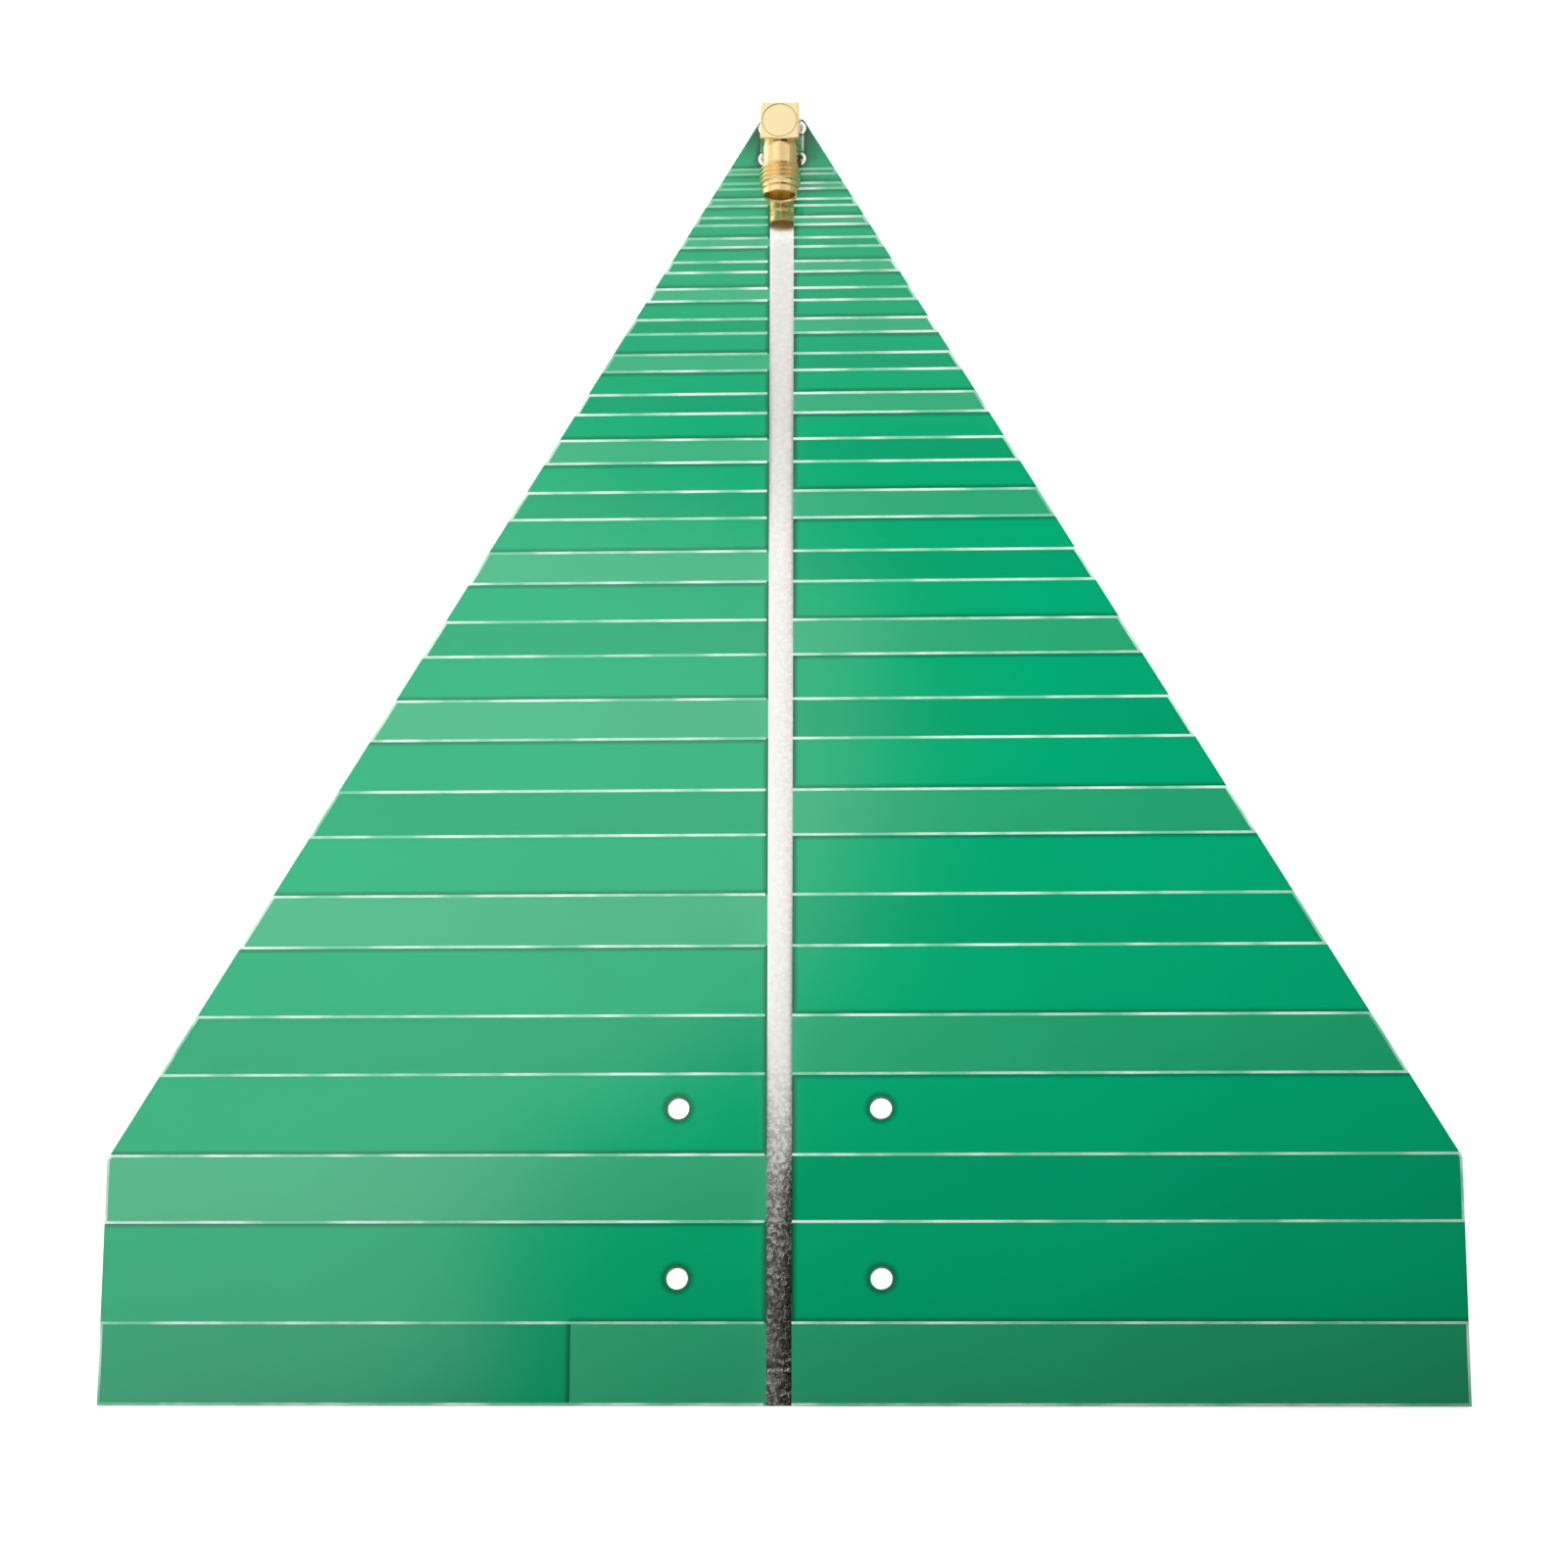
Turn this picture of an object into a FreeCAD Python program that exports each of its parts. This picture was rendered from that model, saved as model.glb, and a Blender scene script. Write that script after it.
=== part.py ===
import FreeCAD, Part
import os
import re

import Sketcher

# A log-periodic antenna etched on both faces of a printed board, fed by a right-angle threaded jack.
# The frame: +Z out of the front face, +Y along the boom towards the narrow tip, +X to the right.
# The origin is the centre of the four fixing holes, on the outer face of the back coat.
# All sizes are in millimetres.

SIZES = {
    # board
    "board_width": 200.0,
    "board_length": 199.2,
    "shoulder_height": 36.0,
    "tip_width": 6.6,
    "tip_radius": 0.9,
    "laminate_thickness": 1.5,
    "lower_row": 18.4,
    "row_pitch": 25.0,
    "hole_spacing": 30.0,
    "hole_diameter": 3.2,
    # layers on the laminate
    "copper_thickness": 0.035,
    "mask_thickness": 0.025,
    "bare_mask_thickness": 0.04,
    "tin_thickness": 0.015,
    "legend_thickness": 0.015,
    "copper_inset": 0.4,
    "mask_clearance": 0.2,
    # boom and dipoles
    "boom_width": 3.7,
    "base_dipole_width": 11.95,
    "second_dipole": 31.6,
    "apex_overhang": 8.58,
    "pitch_ratio": 0.8791,
    "dipole_width": 9.85,
    "long_width_ratio": 0.888,
    "short_width_ratio": 0.858,
    "short_from": 131.0,
    "stub_length": 28.7,
    # white lines
    "legend_width": 0.4,
    "legend_gap": 0.35,
    "legend_edge_gap": 0.004,
    "jack_line_offset": 3.2,
    # holes and lands of the jack
    "tip_margin": 4.05,
    "leg_pitch": 5.08,
    "leg_hole": 1.6,
    "pin_hole": 1.3,
    "plating_thickness": 0.025,
    "leg_land": 2.4,
    "pin_land": 2.2,
    "pin_clearance": 2.8,
    "feed_width": 1.3,
    "land_gap": 0.25,
    # jack
    "jack_standoff": 3.0,
    "block_side": 6.0,
    "block_height": 6.4,
    "block_rounding": 0.35,
    "block_chamfer": 0.15,
    "axis_rise": 3.2,
    "leg_tail": 1.1,
    "cap_diameter": 5.5,
    "cap_thickness": 0.5,
    "cavity_diameter": 3.6,
    "cavity_floor": 1.1,
    "barrel_seat": 0.9,
    "neck_diameter": 5.2,
    "neck_length": 3.5,
    "thread_diameter": 6.35,
    "thread_length": 3.5,
    "thread_chamfer": 0.3,
    "relief_diameter": 5.0,
    "relief_length": 0.3,
    "nose_diameter": 5.5,
    "nose_length": 0.9,
    "mouth_diameter": 4.6,
    "mouth_depth": 1.93,
    "mouth_chamfer": 0.2,
    "insulator_diameter": 4.1,
    "contact_diameter": 1.27,
    "contact_bore": 0.94,
    "contact_bore_depth": 3.0,
    "contact_slot": 0.2,
    "contact_slot_depth": 1.8,
    "contact_tail": 0.8,
    "pin_diameter": 0.9,
    "pin_insulator_diameter": 2.6,
    "pin_chamfer": 0.15,
    # solder
    "solder_height": 0.8,
    "solder_spread": 0.1,
    "solder_hollow": 0.3,
    "solder_fill_gap": 0.3,
}

# Heights and places that several pieces share, written in the names above.
LOWER_EDGE = "-(lower_row + row_pitch / 2)"
LAMINATE_BACK = "(mask_thickness + copper_thickness)"
LAMINATE_FRONT = f"({LAMINATE_BACK} + laminate_thickness)"
COPPER_FRONT = f"({LAMINATE_FRONT} + copper_thickness)"
COAT_FRONT = f"({COPPER_FRONT} + mask_thickness)"
BARE_COAT_FRONT = f"({LAMINATE_FRONT} + bare_mask_thickness)"
JACK_PLACE = "(board_length - tip_margin)"
JACK_Y = f"({LOWER_EDGE} + {JACK_PLACE})"
BLOCK_BOTTOM = f"({COAT_FRONT} + jack_standoff)"
JACK_AXIS = f"({BLOCK_BOTTOM} + axis_rise)"
LEG_SIDE = "(block_side - leg_pitch)"
BARREL_FACE = "(block_side / 2 + neck_length)"
THREAD_END = f"({BARREL_FACE} + thread_length)"
NOSE_START = f"({THREAD_END} + relief_length)"
NOSE_END = f"({NOSE_START} + nose_length)"
INSULATOR_FACE = f"({NOSE_END} - mouth_depth)"
LAND_EDGE = f"({JACK_PLACE} - leg_pitch / 2 - leg_land / 2 - land_gap)"
APEX = "(board_length + apex_overhang)"

# Two places nearer than this are the same place.
SAME = 1e-6

doc = FreeCAD.newDocument("antenna")
sheet = doc.addObject("Spreadsheet::Sheet", "Sizes")
for row, (alias, number) in enumerate(SIZES.items(), start=1):
    sheet.set(f"A{row}", alias)
    sheet.set(f"B{row}", str(number))
    sheet.setAlias(f"B{row}", alias)
doc.recompute()

nodes = []


def in_sheet_names(formula):
    """Write a formula's size names the way the document's expressions need them."""
    return re.sub(r"[a-z_]{3,}", lambda word: prefixed(word.group()), str(formula))


def prefixed(word):
    return f"Sizes.{word}" if word in SIZES else word


def value(formula):
    """The number that a formula gives with the sheet's present sizes."""
    return float(sheet.evalExpression(in_sheet_names(formula)))


def bind(item, prop, formula):
    item.setExpression(prop, in_sheet_names(formula))


def place(item, along_x="0", along_y="0", along_z="0"):
    bind(item, "Placement.Base.x", along_x)
    bind(item, "Placement.Base.y", along_y)
    bind(item, "Placement.Base.z", along_z)
    return item


def keep(item, label):
    """Name a finished piece and put it on the list of pieces to write."""
    item.Label = label
    nodes.append(item)
    return item


# Sketch helpers

def new_body(name):
    return doc.addObject("PartDesign::Body", name)


def new_sketch(body, role, name, lift=None):
    """A sketch on one of the body's own origin planes, lifted along the plane's normal if asked."""
    plane = next(item for item in body.Origin.OriginFeatures if item.Role == role)
    sketch = body.newObject("Sketcher::SketchObject", name)
    sketch.AttachmentSupport = [(plane, "")]
    sketch.MapMode = "FlatFace"
    if lift is not None:
        bind(sketch, "AttachmentOffset.Base.z", lift)
    return sketch


def fix_point(sketch, geometry, point, across, up):
    """Tie one sketch point to the sketch's origin by two formulas."""
    for kind, formula, axis in (("DistanceX", across, -2), ("DistanceY", up, -1)):
        number = value(formula)
        if abs(number) < SAME:
            sketch.addConstraint(Sketcher.Constraint("PointOnObject", geometry, point, axis))
        elif number > 0:
            index = sketch.addConstraint(Sketcher.Constraint(kind, -1, 1, geometry, point, number))
            bind(sketch, f"Constraints[{index}]", formula)
        else:
            index = sketch.addConstraint(Sketcher.Constraint(kind, geometry, point, -1, 1, -number))
            bind(sketch, f"Constraints[{index}]", f"-({formula})")


def draw_profile(sketch, corners):
    """A closed profile through corners given as pairs of formulas."""
    points = [FreeCAD.Vector(value(across), value(up), 0) for across, up in corners]
    count = len(points)
    for side in range(count):
        sketch.addGeometry(Part.LineSegment(points[side], points[(side + 1) % count]), False)
    for side, (across, up) in enumerate(corners):
        sketch.addConstraint(Sketcher.Constraint("Coincident", side, 2, (side + 1) % count, 1))
        fix_point(sketch, side, 1, across, up)


def draw_circles(sketch, circles):
    """Circles given as formulas of centre and radius."""
    for index, (across, up, radius) in enumerate(circles):
        centre = FreeCAD.Vector(value(across), value(up), 0)
        sketch.addGeometry(Part.Circle(centre, FreeCAD.Vector(0, 0, 1), value(radius)), False)
        fix_point(sketch, index, 3, across, up)
        limit = sketch.addConstraint(Sketcher.Constraint("Radius", index, value(radius)))
        bind(sketch, f"Constraints[{limit}]", radius)


def pad(body, sketch, length, downward=False):
    feature = body.newObject("PartDesign::Pad", f"{body.Name}_pad")
    feature.Profile = sketch
    bind(feature, "Length", length)
    feature.Reversed = downward
    doc.recompute()
    return feature


def cut_through(body, sketch):
    feature = body.newObject("PartDesign::Pocket", f"{body.Name}_through")
    feature.Profile = sketch
    feature.Type = "ThroughAll"
    feature.Midplane = True
    doc.recompute()
    return feature


def turn(body, sketch, kind="PartDesign::Revolution"):
    """Turn a profile a full circle about the sketch's upright axis, to add or to cut."""
    feature = body.newObject(kind, f"{body.Name}_turned")
    feature.Profile = sketch
    feature.ReferenceAxis = (sketch, ["V_Axis"])
    feature.Angle = 360
    doc.recompute()
    return feature


def dress_edges(body, kind, prop, size, wanted):
    """Round or chamfer the edges of the body's last feature that the test wanted picks out."""
    last = body.Tip
    picked = [f"Edge{index}" for index, edge in enumerate(last.Shape.Edges, start=1) if wanted(edge)]
    feature = body.newObject(kind, f"{body.Name}_edges")
    feature.Base = (last, picked)
    bind(feature, prop, size)
    doc.recompute()
    return feature


def upright(edge):
    return edge.BoundBox.XLength < SAME and edge.BoundBox.YLength < SAME


# Boolean helpers

def box(name, low, span):
    """A box from the formulas of its low corner and of its three lengths."""
    item = doc.addObject("Part::Box", name)
    for prop, formula in zip(("Length", "Width", "Height"), span):
        bind(item, prop, formula)
    return place(item, *low)


def cylinder(name, centre, bottom, radius, height):
    item = doc.addObject("Part::Cylinder", name)
    bind(item, "Radius", radius)
    bind(item, "Height", height)
    return place(item, centre[0], centre[1], bottom)


def joined(name, items):
    if len(items) == 1:
        return items[0]
    item = doc.addObject("Part::MultiFuse", name)
    item.Shapes = items
    item.Refine = True
    return item


def common(name, base, tool):
    item = doc.addObject("Part::Common", name)
    item.Base = base
    item.Tool = tool
    item.Refine = True
    return item


def minus(name, base, tool):
    item = doc.addObject("Part::Cut", name)
    item.Base = base
    item.Tool = tool
    item.Refine = True
    return item


# Places that repeat: fixing holes, jack legs, and the ladder of dipoles

CORNERS = {
    "boom_left": (-1, -1),
    "boom_right": (1, -1),
    "tip_left": (-1, 1),
    "tip_right": (1, 1),
}


def fixing_holes(extra="0"):
    radius = f"(hole_diameter / 2 + {extra})"
    return [(f"{side} * hole_spacing / 2", f"{end} * row_pitch / 2", radius)
            for side, end in CORNERS.values()]


def leg_centre(corner):
    side, end = CORNERS[corner]
    return f"({side} * leg_pitch / 2)", f"({JACK_Y} + {end} * leg_pitch / 2)"


def leg_circles(diameter, extra="0"):
    return [(*leg_centre(corner), f"({diameter} / 2 + {extra})") for corner in CORNERS]


def pin_circle(diameter, extra="0"):
    return [("0", JACK_Y, f"({diameter} / 2 + {extra})")]


def dipoles():
    """Foot and breadth of each dipole: the distance to an apex past the tip shrinks by a ratio.

    The breadths shrink by a ratio too, a faster one nearer the tip. The ladder ends where the next
    dipole would reach the jack's lands.
    """
    ladder = [(f"({LOWER_EDGE})", "base_dipole_width")]
    step = long_steps = short_steps = 0
    while True:
        centre = f"({APEX} - ({APEX} - second_dipole) * pitch_ratio ^ {step})"
        breadth = (f"(dipole_width * long_width_ratio ^ {long_steps}"
                   f" * short_width_ratio ^ {short_steps})")
        if value(f"{centre} + {breadth} / 2") > value(LAND_EDGE):
            return ladder
        ladder.append((f"({LOWER_EDGE} + {centre} - {breadth} / 2)", breadth))
        step += 1
        if value(centre) > value("short_from"):
            short_steps += 1
        else:
            long_steps += 1


LADDER = dipoles()


# Board outline

def outline_corners():
    half, tip = "board_width / 2", "tip_width / 2"
    top = f"{LOWER_EDGE} + board_length"
    shoulder = f"{LOWER_EDGE} + shoulder_height"
    right = [(half, LOWER_EDGE), (half, shoulder), (tip, top)]
    left = [(f"-({across})", up) for across, up in reversed(right)]
    return right + left


def board_sheet(name, bottom, thickness, holes=None):
    """A sheet of the board's outline with rounded tip corners and, if given, round holes."""
    body = new_body(name)
    outline = new_sketch(body, "XY_Plane", f"{name}_outline")
    draw_profile(outline, outline_corners())
    pad(body, outline, thickness)
    tip_y = value(f"{LOWER_EDGE} + board_length")
    rounded = lambda edge: upright(edge) and abs(edge.Vertexes[0].Y - tip_y) < SAME
    dress_edges(body, "PartDesign::Fillet", "Radius", "tip_radius", rounded)
    if holes:
        pattern = new_sketch(body, "XY_Plane", f"{name}_holes")
        draw_circles(pattern, holes)
        cut_through(body, pattern)
    return place(body, along_z=bottom)


def inset_prism(name, inset, layer):
    """The board's outline drawn in by an even margin, as a solid that trims arms and lines."""
    outline = doc.addObject("Sketcher::SketchObject", f"{name}_outline")
    draw_profile(outline, outline_corners())
    margin = doc.addObject("Part::Offset2D", f"{name}_margin")
    margin.Source = outline
    margin.Mode = "Pipe"
    margin.Join = "Intersection"
    bind(margin, "Value", f"-({inset})")
    prism = doc.addObject("Part::Extrusion", name)
    prism.Base = margin
    prism.DirMode = "Custom"
    prism.Dir = FreeCAD.Vector(0, 0, 1)
    prism.Solid = True
    bind(prism, "LengthFwd", layer[1])
    return place(prism, along_z=layer[0])


keep(board_sheet("laminate", LAMINATE_BACK, "laminate_thickness",
                 fixing_holes() + leg_circles("leg_hole") + pin_circle("pin_hole")), "laminate_board")


# Copper: on each face the arms leave the boom on alternate sides, and the two faces are opposite.
# A plan is the copper's outline at any height, for the copper itself and for the coat raised by it.

def arm_box(name, side, layer, foot, breadth, reach="board_width / 2"):
    """One arm from the boom's centre line outwards, on side +1 or -1. A layer is (bottom, height)."""
    start = "0" if side > 0 else f"-({reach})"
    return box(name, (start, foot, layer[0]), (reach, breadth, layer[1]))


def dipole_plan(name, first_side, layer):
    """The boom, the arms of one face and the stub at the widest dipole."""
    arms = []
    for index, (foot, breadth) in enumerate(LADDER):
        side = first_side if index % 2 == 0 else -first_side
        arms.append(arm_box(f"{name}_arm_{index + 1}", side, layer, foot, breadth))
    trimmed = common(f"{name}_arms", joined(f"{name}_bands", arms),
                     inset_prism(f"{name}_margin", "copper_inset", layer))
    stub = arm_box(f"{name}_stub", -first_side, layer, LOWER_EDGE, "base_dipole_width",
                   "(boom_width / 2 + stub_length)")
    return [trimmed, stub, centre_strip(f"{name}_boom", "boom_width", "0", LAND_EDGE, layer)]


def centre_strip(name, width, start, end, layer):
    """A strip along the boom between two distances from the board's lower edge."""
    return box(name, (f"-{width} / 2", f"{LOWER_EDGE} + {start}", layer[0]),
               (width, f"{end} - {start}", layer[1]))


def disc_set(name, circles, layer):
    return [cylinder(f"{name}_{index}", (across, up), layer[0], radius, layer[1])
            for index, (across, up, radius) in enumerate(circles)]


def front_plan(name, layer):
    """Front face: the boom runs into a square land that joins the four legs."""
    ground = box(f"{name}_ground", ("-leg_pitch / 2", f"{JACK_Y} - leg_pitch / 2", layer[0]),
                 ("leg_pitch", "leg_pitch", layer[1]))
    link = centre_strip(f"{name}_link", "boom_width", LAND_EDGE, f"({JACK_PLACE} - leg_pitch / 2)", layer)
    lands = disc_set(f"{name}_land", leg_circles("leg_land"), layer)
    return joined(f"{name}_plan", dipole_plan(name, 1, layer) + [ground, link] + lands)


def back_plan(name, layer):
    """Back face: the boom narrows to a feed that passes between the legs to the centre pin."""
    feed = centre_strip(f"{name}_feed", "feed_width", LAND_EDGE, JACK_PLACE, layer)
    land = disc_set(f"{name}_land", pin_circle("pin_land"), layer)
    return joined(f"{name}_plan", dipole_plan(name, -1, layer) + [feed] + land)


def copper(name, plan, bottom, holes):
    layer = (bottom, "copper_thickness")
    cuts = disc_set(f"{name}_hole", holes + fixing_holes("mask_clearance"), layer)
    return minus(name, plan(name, layer), joined(f"{name}_holes", cuts))


FRONT_COPPER = keep(copper("front_copper", front_plan, LAMINATE_FRONT,
                           leg_circles("leg_hole") + pin_circle("pin_clearance")), "front_copper")
BACK_COPPER = keep(copper("back_copper", back_plan, "mask_thickness", pin_circle("pin_hole")),
                   "back_copper")


# Plated holes: a sleeve through the board, with its land on the back where no copper is there yet

def plated_sleeve(name, hole, centre, land=None):
    body = new_body(name)
    wall = new_sketch(body, "XZ_Plane", f"{name}_wall")
    outer, inner = f"{hole} / 2", f"{hole} / 2 - plating_thickness"
    low, step, top = "mask_thickness", LAMINATE_BACK, COPPER_FRONT
    corners = [(inner, low), (outer, low), (outer, top), (inner, top)]
    if land:
        corners[1:2] = [(f"{land} / 2", low), (f"{land} / 2", step), (outer, step)]
    draw_profile(wall, corners)
    turn(body, wall)
    return place(body, *centre)


leg_sleeves = [plated_sleeve(f"sleeve_{corner}", "leg_hole", leg_centre(corner), "leg_land")
               for corner in CORNERS]
leg_plating = doc.addObject("Part::Compound", "leg_plating")
leg_plating.Links = leg_sleeves
keep(leg_plating, "leg_hole_plating")
keep(plated_sleeve("sleeve_pin", "pin_hole", ("0", JACK_Y)), "pin_hole_plating")


# Tin on what the green coat leaves bare: the boom on both faces and the front lands

def front_tin():
    name, layer = "front_tin", (COPPER_FRONT, "tin_thickness")
    lands = joined(f"{name}_lands", disc_set(f"{name}_land", leg_circles("leg_land"), layer))
    holes = joined(f"{name}_holes", disc_set(f"{name}_hole", leg_circles("leg_hole"), layer))
    rings = minus(f"{name}_rings", lands, holes)
    return joined(name, [centre_strip(f"{name}_strip", "boom_width", "0", LAND_EDGE, layer), rings])


keep(front_tin(), "front_boom_tin")
keep(centre_strip("back_tin", "boom_width", "0", LAND_EDGE,
                  ("(mask_thickness - tin_thickness)", "tin_thickness")), "back_boom_tin")


# Green coat: it covers the copper and the laminate, stands higher over the copper, and leaves the
# boom and the lands bare

def solder_mask(name, plan, copper_layer, bare_bottom, bottom, openings):
    depth = (bottom, "(copper_thickness + mask_thickness)")
    raised = plan(f"{name}_raised", depth)
    bare = board_sheet(f"{name}_sheet", bare_bottom, "bare_mask_thickness")
    whole = joined(f"{name}_whole", [bare, raised])
    slot = centre_strip(f"{name}_slot", "boom_width", "0", LAND_EDGE, depth)
    holes = disc_set(f"{name}_hole", fixing_holes("mask_clearance") + openings, depth)
    return minus(name, whole, joined(f"{name}_inside", [copper_layer, slot] + holes))


FRONT_MASK = keep(solder_mask("front_mask", front_plan, FRONT_COPPER, LAMINATE_FRONT, LAMINATE_FRONT,
                              leg_circles("leg_land") + pin_circle("pin_hole", "mask_clearance")),
                  "front_solder_mask")
keep(solder_mask("back_mask", back_plan, BACK_COPPER, f"({LAMINATE_BACK} - bare_mask_thickness)", "0",
                 leg_circles("leg_land") + pin_circle("pin_land")), "back_solder_mask")


# White lines: a frame round every arm, open at the boom, and a line each side of the jack

def legend():
    name, line = "legend", "legend_width"
    layer = (BARE_COAT_FRONT, f"({COAT_FRONT} + legend_thickness - {BARE_COAT_FRONT})")
    starts = {1: "boom_width / 2", -1: "-board_width / 2"}
    reach = {1: "board_width / 2 - boom_width / 2", -1: "board_width / 2 - boom_width / 2 - legend_gap"}
    outer, inner = [], []
    for index, (foot, breadth) in enumerate(LADDER):
        for side, tag in ((1, "right"), (-1, "left")):
            for boxes, part, grow in ((outer, "frame", f"{line} / 2"), (inner, "inside", f"(-{line} / 2)")):
                low = (starts[side], f"{foot} - {grow}", layer[0])
                span = (reach[side], f"{breadth} + 2 * {grow}", layer[1])
                boxes.append(box(f"{part}_{tag}_{index + 1}", low, span))
    whole = common(f"{name}_bands", joined(f"{name}_outer", outer),
                   inset_prism(f"{name}_edge", "legend_edge_gap", layer))
    hollow = common(f"{name}_insides", joined(f"{name}_inner", inner),
                    inset_prism(f"{name}_inset", line, layer))
    lines = [minus(f"{name}_frames", whole, hollow)]
    for side, tag in ((1, "right"), (-1, "left")):
        low = (f"{side} * jack_line_offset - {line} / 2", f"{JACK_Y} - leg_pitch / 2", layer[0])
        lines.append(box(f"jack_line_{tag}", low, (line, "leg_pitch", layer[1])))
    holes = fixing_holes("mask_clearance") + leg_circles("leg_land", "mask_clearance")
    clear_of = joined(f"{name}_clear_of", [FRONT_MASK] + disc_set(f"{name}_clearing", holes, layer))
    return minus(name, joined(f"{name}_lines", lines), clear_of)


keep(legend(), "white_legend")


# Jack: a square block on four legs, with the barrel lying over the boom

def jack_block():
    body = new_body("block")
    half = "block_side / 2"
    square = new_sketch(body, "XY_Plane", "block_square")
    draw_profile(square, [(f"-{half}", f"-{half}"), (half, f"-{half}"), (half, half), (f"-{half}", half)])
    pad(body, square, "block_height")
    for corner, (side, end) in CORNERS.items():
        leg = new_sketch(body, "XY_Plane", f"leg_{corner}")
        near, far = f"({half} - {LEG_SIDE})", half
        draw_profile(leg, [(f"{side} * {near}", f"{end} * {near}"), (f"{side} * {far}", f"{end} * {near}"),
                           (f"{side} * {far}", f"{end} * {far}"), (f"{side} * {near}", f"{end} * {far}")])
        pad(body, leg, f"{BLOCK_BOTTOM} + leg_tail", downward=True)
    limit = value(half) - SAME
    corner_of = lambda edge: min(abs(edge.Vertexes[0].X), abs(edge.Vertexes[0].Y))
    outer_edge = lambda edge: upright(edge) and corner_of(edge) > limit
    dress_edges(body, "PartDesign::Fillet", "Radius", "block_rounding", outer_edge)
    top = value("block_height")
    top_edge = lambda edge: min(vertex.Z for vertex in edge.Vertexes) > top - SAME
    dress_edges(body, "PartDesign::Chamfer", "Size", "block_chamfer", top_edge)
    # upright bore: cap seat, cavity, and the seat of the pin's insulator
    well = new_sketch(body, "XZ_Plane", "block_well")
    seat = "block_height - cap_thickness"
    draw_profile(well, [
        ("0", "0"), ("pin_insulator_diameter / 2", "0"), ("pin_insulator_diameter / 2", "cavity_floor"),
        ("cavity_diameter / 2", "cavity_floor"), ("cavity_diameter / 2", seat), ("cap_diameter / 2", seat),
        ("cap_diameter / 2", "block_height"), ("0", "block_height")])
    turn(body, well, "PartDesign::Groove")
    # level bore: the barrel's seat in the front wall, then the insulator's bore to the cavity
    bore = new_sketch(body, "XY_Plane", "block_bore", lift="axis_rise")
    seat_end = f"-({half} - barrel_seat)"
    draw_profile(bore, [
        ("0", "0"), ("0", f"-({half})"), ("neck_diameter / 2", f"-({half})"), ("neck_diameter / 2", seat_end),
        ("insulator_diameter / 2", seat_end), ("insulator_diameter / 2", "0")])
    turn(body, bore, "PartDesign::Groove")
    return place(body, "0", JACK_Y, BLOCK_BOTTOM)


def barrel_place(body):
    """Barrel pieces are drawn with the jack's axis upright in the sketch and the mouth below."""
    return place(body, "0", JACK_Y, JACK_AXIS)


def jack_barrel():
    body = new_body("barrel")
    wall = new_sketch(body, "XY_Plane", "barrel_wall")
    bore, mouth, neck = "insulator_diameter / 2", "mouth_diameter / 2", "neck_diameter / 2"
    thread, relief, nose = "thread_diameter / 2", "relief_diameter / 2", "nose_diameter / 2"
    draw_profile(wall, [
        (bore, "-(block_side / 2 - barrel_seat)"),
        (bore, f"-{INSULATOR_FACE}"),
        (mouth, f"-{INSULATOR_FACE}"),
        (mouth, f"-({NOSE_END} - mouth_chamfer)"),
        (f"{mouth} + mouth_chamfer", f"-{NOSE_END}"),
        (nose, f"-{NOSE_END}"),
        (nose, f"-{NOSE_START}"),
        (relief, f"-{NOSE_START}"),
        (relief, f"-{THREAD_END}"),
        (f"{thread} - thread_chamfer", f"-{THREAD_END}"),
        (thread, f"-({THREAD_END} - thread_chamfer)"),
        (thread, f"-{BARREL_FACE}"),
        (neck, f"-{BARREL_FACE}"),
        (neck, "-(block_side / 2 - barrel_seat)")])
    turn(body, wall)
    return barrel_place(body)


def jack_cap():
    body = new_body("cap")
    disc = new_sketch(body, "XZ_Plane", "cap_disc")
    radius, chamfer = "cap_diameter / 2", "block_chamfer"
    draw_profile(disc, [
        ("0", "-cap_thickness"), (radius, "-cap_thickness"), (radius, f"-{chamfer}"),
        (f"{radius} - {chamfer}", "0"), ("0", "0")])
    turn(body, disc)
    return place(body, "0", JACK_Y, f"{BLOCK_BOTTOM} + block_height")


def barrel_insulator():
    body = new_body("insulator")
    wall = new_sketch(body, "XY_Plane", "insulator_wall")
    inner, outer = "contact_diameter / 2", "insulator_diameter / 2"
    back = "-cavity_diameter / 2"
    draw_profile(wall, [(inner, back), (inner, f"-{INSULATOR_FACE}"), (outer, f"-{INSULATOR_FACE}"),
                        (outer, back)])
    turn(body, wall)
    return barrel_place(body)


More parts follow.
